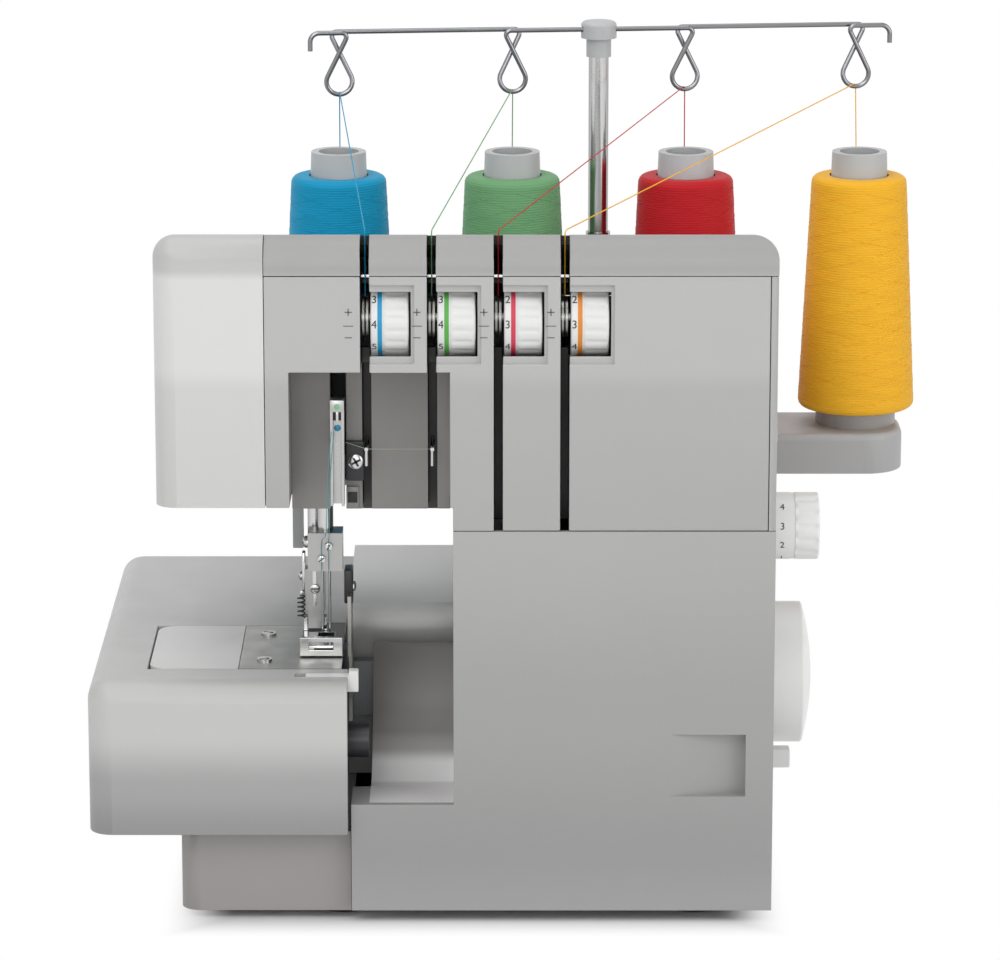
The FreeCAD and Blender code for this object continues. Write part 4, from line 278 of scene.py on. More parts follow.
def paint_box(material, code, lowest, highest):
    """Paints another colour, or colours by height, into a material inside a box, as painted light and shade in a recess
    of a panel and the like.
    """
    tree = material.node_tree
    shade = tree.nodes["Principled BSDF"]
    before = shade.inputs["Base Color"].links[0].from_socket
    place = tree.nodes.new("ShaderNodeTexCoord").outputs["Object"]
    low, high = mm(*lowest), mm(*highest)
    apart = vector_math(tree, "SUBTRACT", place, (low + high) / 2)
    over = vector_math(tree, "SUBTRACT", vector_math(tree, "ABSOLUTE", apart), (high - low) / 2)
    parts = tree.nodes.new("ShaderNodeSeparateXYZ")
    tree.links.new(over, parts.inputs["Vector"])
    worst = largest(tree, [parts.outputs[axis] for axis in "XYZ"])
    inside = tree.nodes.new("ShaderNodeMath")
    inside.operation = "LESS_THAN"
    inside.inputs[1].default_value = 0.0
    tree.links.new(worst, inside.inputs[0])
    colour = tint(code) if isinstance(code, str) else height_colour(tree, place, code)
    blend_colour(tree, inside.outputs["Value"], before, colour, shade.inputs["Base Color"])


# pieces


def piece(name, mesh, material, body, smooth=35):
    """A new object of the machine, riding on a body."""
    made = bpy.data.objects.new(name, mesh)
    bpy.context.scene.collection.objects.link(made)
    if material:
        mesh.materials.clear()
        mesh.materials.append(material)
    if smooth:
        mesh.shade_smooth()
        mesh.set_sharp_from_angle(angle=math.radians(smooth))
    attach(made, body)
    return made


def to_mesh(name, form):
    mesh = bpy.data.meshes.new(name)
    bmesh.ops.recalc_face_normals(form, faces=form.faces)
    form.to_mesh(mesh)
    form.free()
    return mesh


def add_block(form, low, high, bevel=0.3):
    """Adds a block with softened edges to a form, from its corners in millimetres."""
    low, high = mm(*low), mm(*high)
    middle, size = (low + high) / 2, high - low
    made = bmesh.ops.create_cube(form, size=1, matrix=Matrix.Translation(middle) @ Matrix.Diagonal((*size, 1)))
    edges = list({edge for vertex in made["verts"] for edge in vertex.link_edges})
    if bevel:
        bmesh.ops.bevel(form, geom=edges, offset=bevel / 1000, segments=2, affect="EDGES", profile=0.5)


def join_rings(form, first, second):
    """Faces between two rings of as many points."""
    count = len(first)
    for step in range(count):
        after = (step + 1) % count
        form.faces.new((first[step], first[after], second[after], second[step]))


def add_turned(form, profile, origin, axis, steps=48, ripple=None):
    """Adds a turned shape: profile gives (along, radius) in millimetres from the origin along the axis."""
    along = Vector(axis).normalized()
    side = along.orthogonal().normalized() if abs(along.x) < 0.9 else Vector((0, -1, 0))
    up = along.cross(side)
    base = mm(*origin)
    rings = []
    for reach, radius in profile:
        ring = []
        for step in range(steps):
            angle = 2 * math.pi * step / steps
            out = radius + (ripple(reach, angle) if ripple else 0)
            ring.append(form.verts.new(base + along * reach / 1000
                                       + (side * math.cos(angle) + up * math.sin(angle)) * out / 1000))
        rings.append(ring)
    for first, second in zip(rings, rings[1:]):
        join_rings(form, first, second)
    form.faces.new(list(reversed(rings[0])))
    form.faces.new(rings[-1])


def curve_run(name, points, resolution):
    """A new curve whose one NURBS spline has the given control points, in millimetres."""
    line = bpy.data.curves.new(name, "CURVE")
    line.dimensions = "3D"
    line.resolution_u = resolution
    run = line.splines.new("NURBS")
    run.points.add(len(points) - 1)
    for spot, point in zip(run.points, points):
        spot.co = (*mm(*point), 1)
    run.order_u = 3
    run.use_endpoint_u = True
    made = bpy.data.objects.new(name, line)
    bpy.context.scene.collection.objects.link(made)
    return made


def wire(name, points, radius, material, body):
    """A round wire along smooth points, in millimetres."""
    made = curve_run(name, points, 8)
    line = made.data
    line.bevel_depth = radius / 1000
    line.bevel_resolution = 3
    line.use_fill_caps = True
    line.materials.append(material)
    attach(made, body)


# threads, first of all pieces


def near_corner(corner, other, reach=4.0):
    """A point on the run from a corner towards another point."""
    corner, other = Vector(corner), Vector(other)
    return tuple(corner + (other - corner).normalized() * reach)


def smooth_line(points):
    """Points read from the NURBS spline that has the given control points, in millimetres."""
    draft = curve_run("draft", points, 12)
    bpy.context.view_layer.update()
    mesh = bpy.data.meshes.new_from_object(draft.evaluated_get(bpy.context.evaluated_depsgraph_get()))
    path = [vertex.co.copy() for vertex in mesh.vertices]
    bpy.data.objects.remove(draft)
    bpy.data.meshes.remove(mesh)
    return path


def tube(name, path, radius, material, sides=8):
    """A thin round tube along a path in metres."""
    form = bmesh.new()
    rings = []
    across = Vector((1, 0, 0))
    for index, point in enumerate(path):
        heading = (path[min(index + 1, len(path) - 1)] - path[max(index - 1, 0)]).normalized()
        across = (across - heading * across.dot(heading)).normalized()
        over = heading.cross(across)
        rings.append([form.verts.new(point + (across * math.cos(turn) + over * math.sin(turn)) * radius / 1000)
                      for turn in (2 * math.pi * side / sides for side in range(sides))])
    for first, second in zip(rings, rings[1:]):
        join_rings(form, first, second)
    form.faces.new(list(reversed(rings[0])))
    form.faces.new(rings[-1])
    mesh = to_mesh(name, form)
    mesh.materials.append(material)
    mesh.shade_smooth()
    made = bpy.data.objects.new(name, mesh)
    bpy.context.scene.collection.objects.link(made)
    return made


def make_threads(looks):
    """One thread per cone: from its cone, over its eye, then into its slot down to the tension discs."""
    for index, (colour, cone, slot, eye) in enumerate(zip(COLOURS, CONES, SLOTS, EYES)):
        start = (cone, THREAD_Y, THREAD_Z)
        mouth = (slot, MOUTH_Y, MOUTH_Z)
        end = (slot, DISC_Y, DISC_Z)
        points = [start, near_corner(eye, start), eye, near_corner(eye, mouth), near_corner(mouth, eye),
                  mouth, near_corner(mouth, end), end]
        path = smooth_line(points)
        strand = tube(f"thread_{colour}", path, THREAD_RADIUS, looks[colour])
        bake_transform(strand)
        if index == 0:
            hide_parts("threads")


make_camera()

thread_codes = {"blue": "0096C2", "green": "70A674", "red": "BE141E", "yellow": "F6B828"}
thread_looks = {colour: thread_look(f"thread_{colour}", code) for colour, code in thread_codes.items()}
make_threads(thread_looks)
teal_look = thread_look("thread_teal", "5A9C9E")
pale_look = thread_look("thread_pale_green", "A7B5A2")

# finishes of the CAD pieces

body_look = plastic("body_grey", "B0B0AF")
base_look = plastic("base_grey", "9A9795")
# painted shade and light: the looper cover is darkest about 30 mm up and lightest towards its top
cover_look = plastic("cover_grey", ((5, "A2A1A1"), (30, "9A9999"), (90, "A2A2A1"), (168, "AEAEAD")))
# painted shade and light: the extension table darkens towards its foot and is lightest across its upper front, as light
# falls on a curved front
table_look = plastic("table_grey", ((39, "949393"), (60, "A5A4A4"), (82, "C4C4C3"), (95, "C4C4C3"), (101, "BABAB9"),
                                    (104, "BABAB9")))
# painted light: the front panel is painted lighter above about 236 mm, on the upper part of the head's front
front_look = plastic("front_grey", ((168, "ACACAB"), (226, "B0B0AF"), (236, "B9B9B8"), (274, "B9B9B8")))
# painted shade: the lid is painted darker towards its top, where it rounds over
lid_look = plastic("lid_grey", ((272, "B6B6B5"), (277, "A6A6A5"), (290, "999998")))
# painted light and shade: the face cover is lighter above about 236 mm and darker in its top band, where it rounds over
face_look = plastic("face_grey", ((178, "CDCDCC"), (226, "CFCFCE"), (236, "DADAD9"), (272, "DADAD9"), (277, "C2C2C1"),
                                  (290, "B8B8B7")), 0.36)
wheel_look = plastic("wheel_grey", "F6F6F5", 0.36)
seat_look = plastic("seat_grey", "A4A3A3")
length_look = plastic("length_white", "F5F5F4", 0.34, 0.00002)
stand_look = plastic("stand_grey", "AFAEAE")
take_look = metal("take_up_steel", "B9B9B8", 0.3)
white_look = plastic("control_white", "E6E6E5", 0.34, 0.00002)
black_look = plastic("black_plastic", "26262A", 0.38)
core_look = plastic("core_grey", "B9BBBC", 0.45)
# painted reflection: the chrome and the guide wire are painted darker towards their rims
chrome_look = chrome("chrome", "D4D4D4", "55565A")
wire_look = chrome("guide_wire", "8E8F92", "3C3D40")
satin_look = metal("satin_steel", "AEAEAD", 0.36)
steel_look = metal("steel", "A9A8A4", 0.32)
plate_look = metal("plate_steel", "A3A29D", 0.42, (40, 1, 1))
cast_look = plastic("casting", "8B8D90", 0.55, 0.0002, 0.08)
bronze_look = metal("bronze", "B08A54", 0.35)
rubber_look = plastic("rubber", "1B1B1C", 0.75, 0.0001, 0.1)
motor_look = plastic("motor_paint", "3C3E42", 0.5)
lens_look = plastic("lamp_lens", "EFEDE2", 0.18, 0.00001)
# painted light: the bed beam is lightened to near white towards its top, against the shade the arm casts on it
beam_look = plastic("beam_grey", ((38, "B0B0AF"), (99, "B0B0AF"), (109, "F6F6F5")))
arm_look = plastic("arm_grey", "D0D0CF", 0.38)
mark_look = plastic("printed_grey", "6E6F70", 0.6)
digit_look = plastic("printed_black", "1F2021", 0.6)

# painted shade in the recess, the slots and the dial windows, and painted light and shade in the chute, put into the
# colours of the covers round them

RECESS, SLOT, SLOT_BACK_SHADE = "8A8885", "2C2B2A", "3A3938"
# painted light and shade in the chute: white where its hollow faces up, darker up its back wall under the bed
CHUTE_LIGHT_AND_SHADE = ((50.4, "E2E0E0"), (51.2, "E2E0E0"), (51.5, "FFFFFF"), (55, "FFFFFF"), (60, "B4B2B0"), (66, "918F8D"),
         (74, "827F7D"), (104, "7C7977"))
# painted shade: the recess is darkened where the head's front shades it
paint_box(front_look, RECESS, (-94.9, -131.6, 170), (-28.9, -90, 234.4))
# painted shade: each slot and the bay behind each dial window are near black
for slot in SLOTS:
    left, right = slot - SLOT_HALF, slot + SLOT_HALF
    paint_box(front_look, SLOT, (left, -131.7, 160), (right, -105, 280))
    paint_box(front_look, SLOT, (slot - 1.0, -130.3, 238.5), (slot + 19.5, -90, 269.5))
    paint_box(lid_look, SLOT, (left, -131.7, 262), (right, -105, 291.8))
# painted shade: the backs of the two slots that run through the recess
for slot in SLOTS[:2]:
    paint_box(front_look, SLOT_BACK_SHADE, (slot - SLOT_HALF, -107, 160), (slot + SLOT_HALF, -90, 234))
# painted light and shade: the chute's colours by height on the looper cover
paint_box(cover_look, CHUTE_LIGHT_AND_SHADE, (-62.9, -128.9, 50.4), (-25.2, -54, 170))

groups = {
    "bed_beam": beam_look, "free_arm_cover": arm_look, "looper_cover": cover_look, "extension_table": table_look,
    "base_tray": base_look, "front_panel": front_look, "top_cover": lid_look, "face_cover": face_look,
    "spool_stand": stand_look, "spool_pins": seat_look, "handwheel": wheel_look, "length_dial": length_look,
    "take_up_lever": take_look, "needle_plate": plate_look, "guide_bar": wire_look, "shaft_bushes": bronze_look,
    "motor_body": motor_look, "work_lamp": lens_look,
    "antenna_cap cone_cores lifter_lever": core_look,
    "drive_belt rubber_feet": rubber_look,
    "frame_casting main_pulley motor_pulley": cast_look,
    "rear_cover side_cover": body_look,
    "feed_lever finger_lever": white_look,
    "tension_dial_blue tension_dial_green tension_dial_red tension_dial_yellow": white_look,
    "guide_bracket lower_knife power_inlet power_switch": black_look,
    "antenna_slider antenna_tube needle_bar needles": chrome_look,
    "plate_screws presser_bar presser_foot thread_guides": chrome_look,
    "foot_holder needle_clamp": satin_look,
    "cover_hinge_rod feed_dogs lower_looper upper_looper main_shaft tension_units upper_knife": steel_look,
}
finishes = {name: look for names, look in groups.items() for name in names.split()}
for name, look in finishes.items():
    mesh = nodes[name].data
    mesh.materials.clear()
    mesh.materials.append(look)

# a soft edge on the moulded covers, where light catches

for name, width in (("front_panel", 0.5), ("looper_cover", 0.6), ("rear_cover", 0.6), ("side_cover", 0.5),
                    ("base_tray", 0.6), ("face_cover", 0.5), ("spool_stand", 0.5), ("needle_clamp", 0.4),
                    ("take_up_lever", 0.2), ("presser_foot", 0.3), ("foot_holder", 0.3),
                    ("finger_lever", 0.4), ("feed_lever", 0.6), ("guide_bracket", 0.4),
                    ("power_inlet", 0.4), ("power_switch", 0.5), ("extension_table", 0.5),
                    ("bed_beam", 0.5), ("lifter_lever", 0.5), ("free_arm_cover", 0.25)):
    weld = nodes[name].modifiers.new("joined", "WELD")
    weld.merge_threshold = 0.000002
    soft = nodes[name].modifiers.new("soft_edge", "BEVEL")
    soft.width = width / 1000
    soft.segments = 2
    soft.limit_method = "ANGLE"
    soft.angle_limit = math.radians(50)
    soft.harden_normals = True


# wound cones


def cone_radius(share):
    """A package's radius at a share of its height."""
    return CONE_FOOT + (CONE_TOP - CONE_FOOT) * share


def cone_ring(form, spot, radii, height):
    """A ring of points round a cone's axis, one for each radius."""
    points = []
    for step, out in enumerate(radii):
        angle = 2 * math.pi * step / len(radii)
        points.append(form.verts.new(mm(spot + out * math.cos(angle), CONE_Y + out * math.sin(angle), height)))
    return points


def wound_cone(colour, spot):
    """A package of thread with fine turns in its surface."""
    turns, rows_per_turn, steps, shoulder = 96, 6, 120, 3.2
    rows = turns * rows_per_turn
    form = bmesh.new()
    rings = []
    for row in range(rows + 1):
        share = row / rows
        height = CONE_TALL * share
        edge = min(height, CONE_TALL - height, shoulder)
        inset = shoulder - math.sqrt(shoulder ** 2 - (shoulder - edge) ** 2)
        radii = []
        for step in range(steps):
            turn = math.cos(2 * math.pi * (turns * share - step / steps))
            lay = math.cos(2 * math.pi * (9 * share + 5 * step / steps))
            radii.append(cone_radius(share) - 0.2 - inset + 0.06 * turn + 0.04 * lay)
        rings.append(cone_ring(form, spot, radii, CONE_LOW + height))
    for first, second in zip(rings, rings[1:]):
        join_rings(form, first, second)
    for ring, inner, height in ((rings[0], CORE_FOOT, CONE_LOW), (rings[-1], CORE_TOP, CONE_LOW + CONE_TALL)):
        join_rings(form, ring, cone_ring(form, spot, [inner] * steps, height))
    made = piece(f"wound_{colour}", to_mesh(f"wound_{colour}", form), thread_looks[colour], "machine",
                 smooth=0)
    made.data.shade_smooth()
    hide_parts(f"thread_cone_{colour}")


def cross_lays(colour, spot):
    """A few steeper lays of thread over the turns of a package, to one side and the other by turns."""
    lays, count, radius, rounds = 10, 160, 0.09, 2.6
    line = bpy.data.curves.new(f"cross_lay_{colour}", "CURVE")
    line.dimensions = "3D"
    line.bevel_depth = radius / 1000
    line.bevel_resolution = 1
    for lay in range(lays):
        way = 1 if lay % 2 else -1
        run = line.splines.new("POLY")
        run.points.add(count)
        for step in range(count + 1):
            share = 0.045 + 0.91 * step / count
            angle = way * 2 * math.pi * (rounds * step / count) + lay * 0.64 + 0.3 * way
            out = cone_radius(share) - 0.16
            run.points[step].co = (*mm(spot + out * math.cos(angle), CONE_Y + out * math.sin(angle),
                                       CONE_LOW + CONE_TALL * share), 1)
    line.materials.append(thread_looks[colour])
    made = bpy.data.objects.new(f"cross_lay_{colour}", line)
    bpy.context.scene.collection.objects.link(made)
    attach(made, "machine")


for colour, spot in zip(COLOURS, CONES):
    wound_cone(colour, spot)
    cross_lays(colour, spot)


# dials


def words(name, text, height, centre, angle, radius, material, body):
    """A digit on a dial that turns about X: centre is the dial's middle there, angle is up from the front."""
    glyph = bpy.data.curves.new(name, "FONT")
    glyph.body = text
    glyph.align_x = "CENTER"
    glyph.align_y = "CENTER"
    glyph.size = height / 1000 * 1.38
    glyph.extrude = 0.00004
    draft = bpy.data.objects.new(name, glyph)
    bpy.context.scene.collection.objects.link(draft)
    bpy.context.view_layer.update()
    mesh = bpy.data.meshes.new_from_object(draft.evaluated_get(bpy.context.evaluated_depsgraph_get()))
    bpy.data.objects.remove(draft)
    turn = Matrix.Rotation(-angle, 4, "X") @ Matrix.Translation((0, -radius / 1000, 0))
    mesh.transform(Matrix.Translation(mm(*centre)) @ turn @ Matrix.Rotation(math.pi / 2, 4, "X"))
    piece(name, mesh, material, body, smooth=0)


def fluted_knob(name, left, widths, centre, radius, flutes, deep, material, body, node):
    """A knob about X: a plain scale ring, then a fluted grip with rounded ends."""
    ring, whole = widths
    soft, groove, sunk = 0.9, 0.6, 0.25
    grip, end = ring + groove, whole - 0.7

    def ripple(reach, angle):
        if reach < grip or reach > end:
            return 0
        fade = min(1, (reach - grip) / 0.8, (end - reach) / 0.8)
        wave = 0.5 - 0.5 * math.cos(flutes * angle)
        return -deep * fade * wave ** 3

    profile = [(0, radius - 0.5), (0.5, radius)]
    profile += [(ring * share, radius) for share in (0.4, 0.8)]
    profile += [(ring, radius - sunk), (ring + groove / 2, radius - sunk), (grip, radius)]
    profile += [(grip + (whole - ring - 1.8) * share / 8, radius) for share in range(1, 9)]
    profile += [(whole - soft + soft * math.sin(turn), radius - soft + soft * math.cos(turn))
                for turn in (0.5, 1.0, 1.57)]
    profile.append((whole, radius * 0.3))
    form = bmesh.new()
    add_turned(form, profile, (left, centre[0], centre[1]), (1, 0, 0), flutes * 8, ripple)
    made = piece(name, to_mesh(name, form), material, body, smooth=40)
    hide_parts(node)


def band(name, left, width, centre, radius, code, body):
    """A printed colour band round a dial."""
    form = bmesh.new()
    sunk, proud, edge = radius - 0.2, radius + 0.06, 0.05
    add_turned(form, [(0, sunk), (edge, proud), (width - edge, proud), (width, sunk)],
               (left, centre[0], centre[1]), (1, 0, 0), 96)
    piece(name, to_mesh(name, form), plastic(name, code, 0.45), body, smooth=40)


bands = {"blue": "1496C4", "green": "58A84A", "red": "D23A55", "yellow": "E08A2C"}
for index, (colour, slot) in enumerate(zip(COLOURS, SLOTS)):
    left = slot + 2.4
    body = f"dial_{colour}"
    at = (DIAL_Y, DIAL_Z)
    fluted_knob(f"knob_{colour}", left, (5.0, 15.5), at, DIAL_R, DIAL_FLUTES, DIAL_DEEP, white_look, body,
                f"tension_dial_{colour}")
    band(f"band_{colour}", left + 2.75, 1.9, at, DIAL_R, bands[colour], body)
    middle = 4 if index < 2 else 3  # the digit that faces the front
    for digit in range(10):
        angle = math.radians(-36 * (digit - middle))
        words(f"digit_{colour}_{digit}", str(digit), 3.4, (left + 1.45, *at), angle, DIAL_R + 0.02, digit_look, body)

at = (LENGTH_Y, LENGTH_Z)
fluted_knob("length_knob", LENGTH_LEFT, (9.5, 20.2), at, LENGTH_R, LENGTH_FLUTES, LENGTH_DEEP, length_look,
            "length_dial", "length_dial")
for digit, angle in ((4, 47), (3, 12), (2, -22), (1, -57)):
    words(f"length_{digit}", str(digit), 3.0, (LENGTH_LEFT + 4.47, *at), math.radians(angle), LENGTH_R + 0.02,
          digit_look, "length_dial")

# plus, level and minus marks beside the dials

for index, spot in enumerate(MARKS):
    form = bmesh.new()
    near, far = FRONT - 0.04, FRONT + 0.05
    for half, tall, height in ((1.5, 0.27, 259.3), (0.27, 1.5, 259.3), (2.1, 0.22, 253.6), (1.5, 0.25, 248.8)):
        add_block(form, (spot - half, near, height - tall), (spot + half, far, height + tall), 0)
    piece(f"dial_marks_{index}", to_mesh(f"dial_marks_{index}", form), mark_look, "machine", smooth=0)


# small hardware


def screw(name, centre, axis, radius, tall, material, body, cross=True, turn=0.0):
    """A screw with a domed head and a black cross or slot on it, painted shade for its drive recess; axis points out of
    the surface.
    """
    form = bmesh.new()
    add_turned(form, [(-0.3, radius), (tall * 0.45, radius), (tall * 0.8, radius * 0.86), (tall, radius * 0.55)],
               centre, axis, 32)
    piece(name, to_mesh(name, form), material, body, smooth=40)
    out = Vector(axis).normalized()
    frame_turn = out.to_track_quat("Z", "Y").to_matrix().to_4x4() @ Matrix.Rotation(turn, 4, "Z")
    # painted shade: the drive is a black block standing in for the shade in its recess
    form = bmesh.new()
    arms = ((0.62, 0.14), (0.14, 0.62)) if cross else ((0.84, 0.15),)
    for wide, deep in arms:
        add_block(form, (-radius * wide, -radius * deep, tall * 0.7), (radius * wide, radius * deep, tall + 0.04), 0)
    mesh = to_mesh(f"{name}_drive", form)
    mesh.transform(Matrix.Translation(mm(*centre)) @ frame_turn)
    piece(f"{name}_drive", mesh, black_look, body, smooth=0)


low, high = (corner * 1000 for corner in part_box("plate_screws"))
for index, deep in enumerate((low.y + 2.5, high.y - 2.5)):
    screw(f"plate_slot_{index}", ((low.x + high.x) / 2, deep, BED_Z + 0.3), (0, 0, 1), 2.6, 0.7, chrome_look, "machine",
          False, 0.5 - index)
low, high = (corner * 1000 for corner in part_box("guide_bracket"))
screw("bracket_screw", ((low.x + high.x) / 2 + 0.4, low.y, (low.z + high.z) / 2), (0, -1, 0), 3.3, 1.5, chrome_look,
      "machine", True, 0.5)


# take-up channel: its cap, the tie across its gap, the gap's painted shade as a black block, and two colour dots


def block_piece(name, blocks, material, body):
    """One piece made of softened blocks, each given by its corners and its edge."""
    form = bmesh.new()
    for low, high, bevel in blocks:
        add_block(form, low, high, bevel)
    piece(name, to_mesh(name, form), material, body, smooth=30)


def dot(name, centre, radius, code, body):
    """A round colour mark on a face to the front."""
    form = bmesh.new()
    add_turned(form, [(-0.2, radius), (0.1, radius), (0.25, radius * 0.8)], centre, (0, -1, 0), 24)
    piece(name, to_mesh(name, form), plastic(name, code, 0.3), body, smooth=40)


low, high = (corner * 1000 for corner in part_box("take_up_lever"))
right, front, top = high.x, low.y, high.z
left = right - 5.8
block_piece("take_up_cap", [((left, front - 0.15, top - 5), (right, front + 5, top + 0.1), 0.5)],
            take_look, "needle_bar")
# painted shade: a black block inside the gap
block_piece("take_up_gap", [((left + 1.1, front + 3.4, top - 9.2), (right - 1.1, front + 5, top - 4.8), 0.1)],
            black_look, "needle_bar")
block_piece("take_up_tie", [((left + 2.3, front + 2.4, top - 9.4), (right - 2.3, front + 4.0, top - 4.6), 0.2)],
            chrome_look, "needle_bar")
dot("take_up_green", (left + 2.9, front - 0.1, top - 2.6), 1.2, "7FC08A", "needle_bar")
dot("take_up_blue", (left + 2.9, front + 4.7, top - 12.6), 1.4, "2FA0C6", "needle_bar")

# needle clamp's screws and the threads down to the needles

low, high = (corner * 1000 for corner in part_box("needle_clamp"))
for index, spot in enumerate(NEEDLES):
    screw(f"clamp_screw_{index}", (spot, low.y, low.z + 5.5 * (index + 1)), (0, -1, 0), 1.6, 0.3, chrome_look,
          "needle_bar", False, 0.6 + 0.5 * index)
screw("clamp_side_screw", (low.x, NEEDLE_Y - 1.5, high.z - 5), (-1, 0, 0), 2.6, 2.2, chrome_look, "needle_bar", False)
for index, spot in enumerate(NEEDLES):
    shift = 1.1 * index
    points = [(left + 0.6 + shift, front - 0.5, top - 13), (left - 1.4 + shift, front - 0.9, top - 30),
              (left - 1.6 + shift, front - 0.6, top - 58), (spot, low.y - 1.4, 152), (spot, low.y - 1.4, 141),
              (spot, NEEDLE_Y - 2.4, 130), (spot, NEEDLE_Y - 0.9, 112.5)]
    path = smooth_line(points)
    strand = tube(f"needle_thread_{index}", path, FINE_RADIUS, teal_look)
    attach(strand, "needle_bar")

# the thread across the recess, under its two hooks

hook, last = RECESS_HOOKS
path = smooth_line([RECESS_START, near_corner(hook, RECESS_START), hook, near_corner(hook, last), last])
strand = tube("recess_thread", path, FINE_RADIUS, pale_look)
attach(strand, "machine")

# small pocket under the bracket, in the recess; its mouth is a dark sheet as painted shade

block_piece("recess_pocket", [((-72.2, -108.6, 171.6), (-67.0, -106.9, 181.0), 0.3)], front_look, "machine")
# painted shade: the pocket's mouth in dark print colour
block_piece("recess_pocket_mouth", [((-71.6, -108.8, 174.2), (-67.6, -108.2, 178.8), 0.2)], digit_look, "machine")

# presser foot: side lever with its spring and screw, toe bar; the upper knife's guard

low, high = (corner * 1000 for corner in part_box("foot_holder"))
block_piece("foot_lever", [((low.x - 1.3, -62.4, 122.5), (low.x + 0.2, -57.6, 141.0), 0.4),
                           ((low.x - 2.4, -61.4, 121.0), (low.x + 0.2, -58.6, 124.0), 0.3)],
            chrome_look, "presser_bar")
screw("foot_lever_screw", (low.x - 1.3, -60.0, 130.5), (-1, 0, 0), 1.9, 1.4, chrome_look, "presser_bar", False)
screw("foot_holder_screw", ((low.x + high.x) / 2, low.y, 125.5), (0, -1, 0), 2.1, 0.7, chrome_look, "presser_bar",
      False)
turns, per_turn, reach = 5, 10, 1.5
coil = []
for step in range(turns * per_turn + 1):
    angle = 2 * math.pi * step / per_turn
    coil.append((low.x - 1.6 + reach * math.cos(angle), -64.6 + reach * math.sin(angle),
                 113.2 + 9.5 * step / (turns * per_turn)))
wire("foot_spring", coil, 0.38, black_look, "presser_bar")
low, high = (corner * 1000 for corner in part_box("presser_foot"))
block_piece("toe_bar", [((low.x + 3.2, low.y + 0.2, low.z + 1.0), (high.x - 0.4, low.y + 1.8, low.z + 4.6), 0.5),
                        ((low.x + 3.2, low.y + 0.2, low.z + 1.0), (low.x + 4.6, low.y + 9.0, low.z + 3.4), 0.4),
                        ((high.x - 1.8, low.y + 0.2, low.z + 1.0), (high.x - 0.4, low.y + 9.0, low.z + 3.4), 0.4)],
            chrome_look, "presser_foot")
# painted shade: the toe's window is a black sheet
block_piece("toe_window", [((low.x + 6.0, low.y + 0.05, low.z + 2.0), (high.x - 3.6, low.y + 0.5, low.z + 3.6), 0.2)],
            black_look, "presser_foot")
low, high = (corner * 1000 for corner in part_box("upper_knife"))
block_piece("knife_guard", [((low.x - 1.6, -75.0, high.z - 5), (high.x + 0.6, -64.0, high.z + 9.5), 0.6)], black_look,
            "upper_knife")
screw("knife_screw", (high.x + 0.6, -69.5, high.z + 1.5), (1, 0, 0), 2.2, 1.2, chrome_look, "upper_knife", False)

# screws of the covers, and the vents over the motor, whose slots are black blocks as painted shade

low, high = (corner * 1000 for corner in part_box("rear_cover"))
for index, (across, height) in enumerate(((-18, 60), (90, 60), (-18, 205), (90, 205))):
    screw(f"rear_screw_{index}", (across, high.y, height), (0, 1, 0), 3.4, 1.2, steel_look, "machine", True,
          0.4 * index)
# painted shade: each vent slot is a black block
for index in range(7):
    left = 20 + 8 * index
    block_piece(f"rear_vent_{index}", [((left, high.y - 0.6, 74), (left + 3.5, high.y + 0.06, 104), 0.3)],
                black_look, "machine")
low, high = (corner * 1000 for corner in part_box("face_cover"))
screw("face_screw", (low.x + 24, high.y, 232), (0, 1, 0), 3.2, 1.2, steel_look, "machine", True, 0.7)
low, high = (corner * 1000 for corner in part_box("side_cover"))
for index, (deep, height) in enumerate(((-118, 205), (40, 200), (48, 110))):
    screw(f"side_screw_{index}", (high.x, deep, height), (1, 0, 0), 3.0, 1.0, steel_look, "machine", True, 0.3 * index)


# stage


def background_ray(tree):
    """One where a ray comes from the camera or from a mirror or glass, so that they see the white backdrop."""
    rays = tree.nodes.new("ShaderNodeLightPath")
    return largest(tree, [rays.outputs[f"Is {kind} Ray"] for kind in ("Camera", "Glossy", "Transmission")])


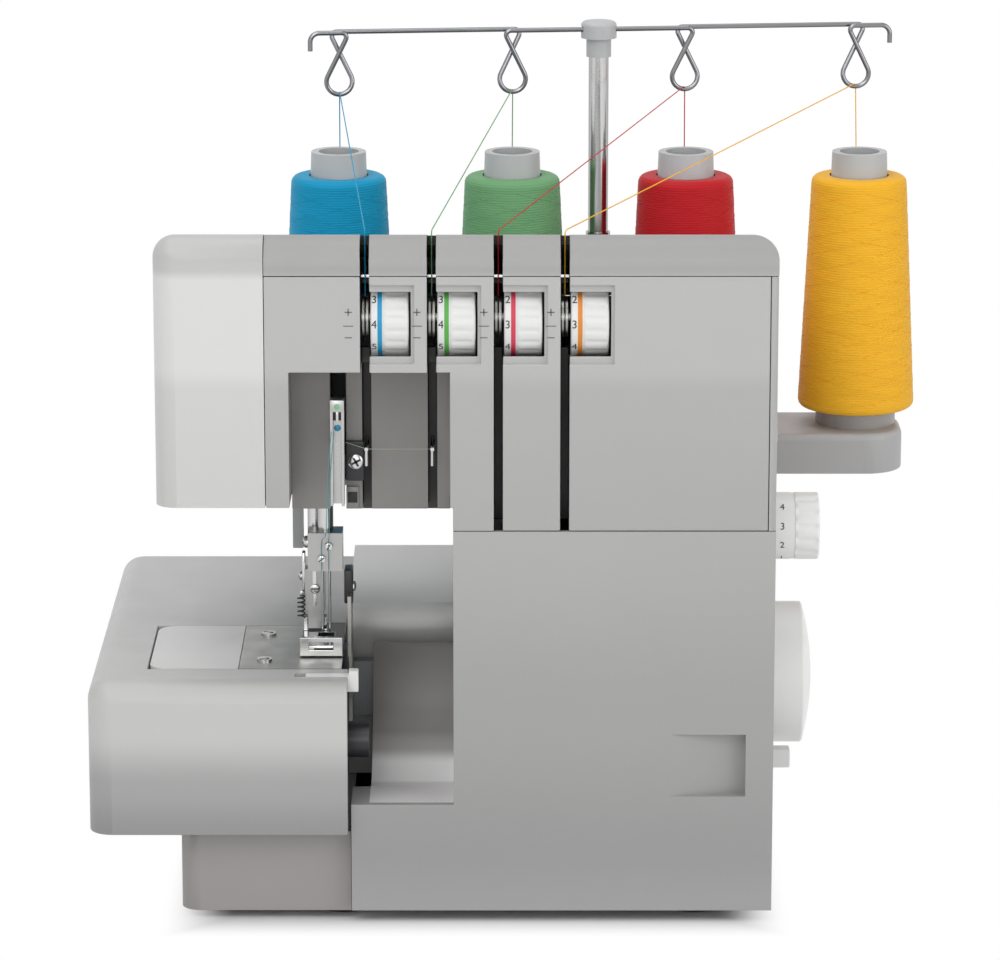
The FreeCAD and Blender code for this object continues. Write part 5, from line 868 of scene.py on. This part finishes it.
def whiten_floor(tree, shade, place):
    """Shows the floor as white away from the machine, and leaves it plain close by, where its shadow lies."""
    apart = vector_math(tree, "SUBTRACT", place, SHADOW_CENTRE)
    shape = vector_math(tree, "MULTIPLY", apart, (1 / SHADOW_HALF[0], 1 / SHADOW_HALF[1], 0.0))
    axes = tree.nodes.new("ShaderNodeSeparateXYZ")
    tree.links.new(vector_math(tree, "ABSOLUTE", shape), axes.inputs["Vector"])
    size = largest(tree, [axes.outputs["X"], axes.outputs["Y"]])
    share = tree.nodes.new("ShaderNodeMapRange")
    share.interpolation_type = "SMOOTHSTEP"
    share.inputs["From Min"].default_value, share.inputs["From Max"].default_value = SHADOW_FADE
    tree.links.new(size, share.inputs["Value"])
    both = tree.nodes.new("ShaderNodeMath")
    both.operation = "MULTIPLY"
    tree.links.new(share.outputs["Result"], both.inputs[0])
    tree.links.new(background_ray(tree), both.inputs[1])
    glow = tree.nodes.new("ShaderNodeEmission")
    glow.inputs["Color"].default_value = (1, 1, 1, 1)
    glow.inputs["Strength"].default_value = 1.0
    mix = tree.nodes.new("ShaderNodeMixShader")
    tree.links.new(both.outputs["Value"], mix.inputs["Fac"])
    tree.links.new(shade.outputs["BSDF"], mix.inputs[1])
    tree.links.new(glow.outputs["Emission"], mix.inputs[2])
    tree.links.new(mix.outputs["Shader"], tree.nodes["Material Output"].inputs["Surface"])


def make_stage():
    floor = bpy.data.meshes.new("floor")
    corners = [(x * FLOOR_SPAN, y * FLOOR_SPAN, 0) for x, y in ((-1, -1), (1, -1), (1, 1), (-1, 1))]
    floor.from_pydata(corners, [], [(0, 1, 2, 3)])
    made = bpy.data.objects.new("floor", floor)
    bpy.context.scene.collection.objects.link(made)
    look, tree, shade, place = surface("floor", "E8E8E8", 0.6)
    whiten_floor(tree, shade, place)
    floor.materials.append(look)
    world = bpy.data.worlds.new("studio")
    bpy.context.scene.world = world
    world.use_nodes = True
    tree = world.node_tree
    back = tree.nodes["Background"]
    back.inputs["Color"].default_value = (1, 1, 1, 1)
    level = tree.nodes.new("ShaderNodeMapRange")
    level.inputs["To Min"].default_value = ROOM_LIGHT
    level.inputs["To Max"].default_value = BACKDROP_LIGHT
    tree.links.new(background_ray(tree), level.inputs["Value"])
    tree.links.new(level.outputs["Result"], back.inputs["Strength"])
    for name, spot, aim, size, power in (("key", (-0.7, -1.2, 1.5), (0, 0, 0.22), 1.2, 10),
                                         ("fill", (1.6, -1.0, 0.8), (0, 0, 0.2), 1.3, 10),
                                         ("front", (-0.2, -2.4, 0.7), (0, 0, 0.12), 1.0, 7),
                                         ("top", (-0.3, 0.1, 1.7), (0, 0, 0.1), 1.4, 8)):
        lamp = bpy.data.lights.new(name, "AREA")
        lamp.energy = power
        lamp.size = size
        holder = bpy.data.objects.new(name, lamp)
        holder.location = spot
        holder.rotation_euler = facing(spot, aim)
        bpy.context.scene.collection.objects.link(holder)


make_stage()
bpy.context.scene.view_settings.view_transform = "Standard"
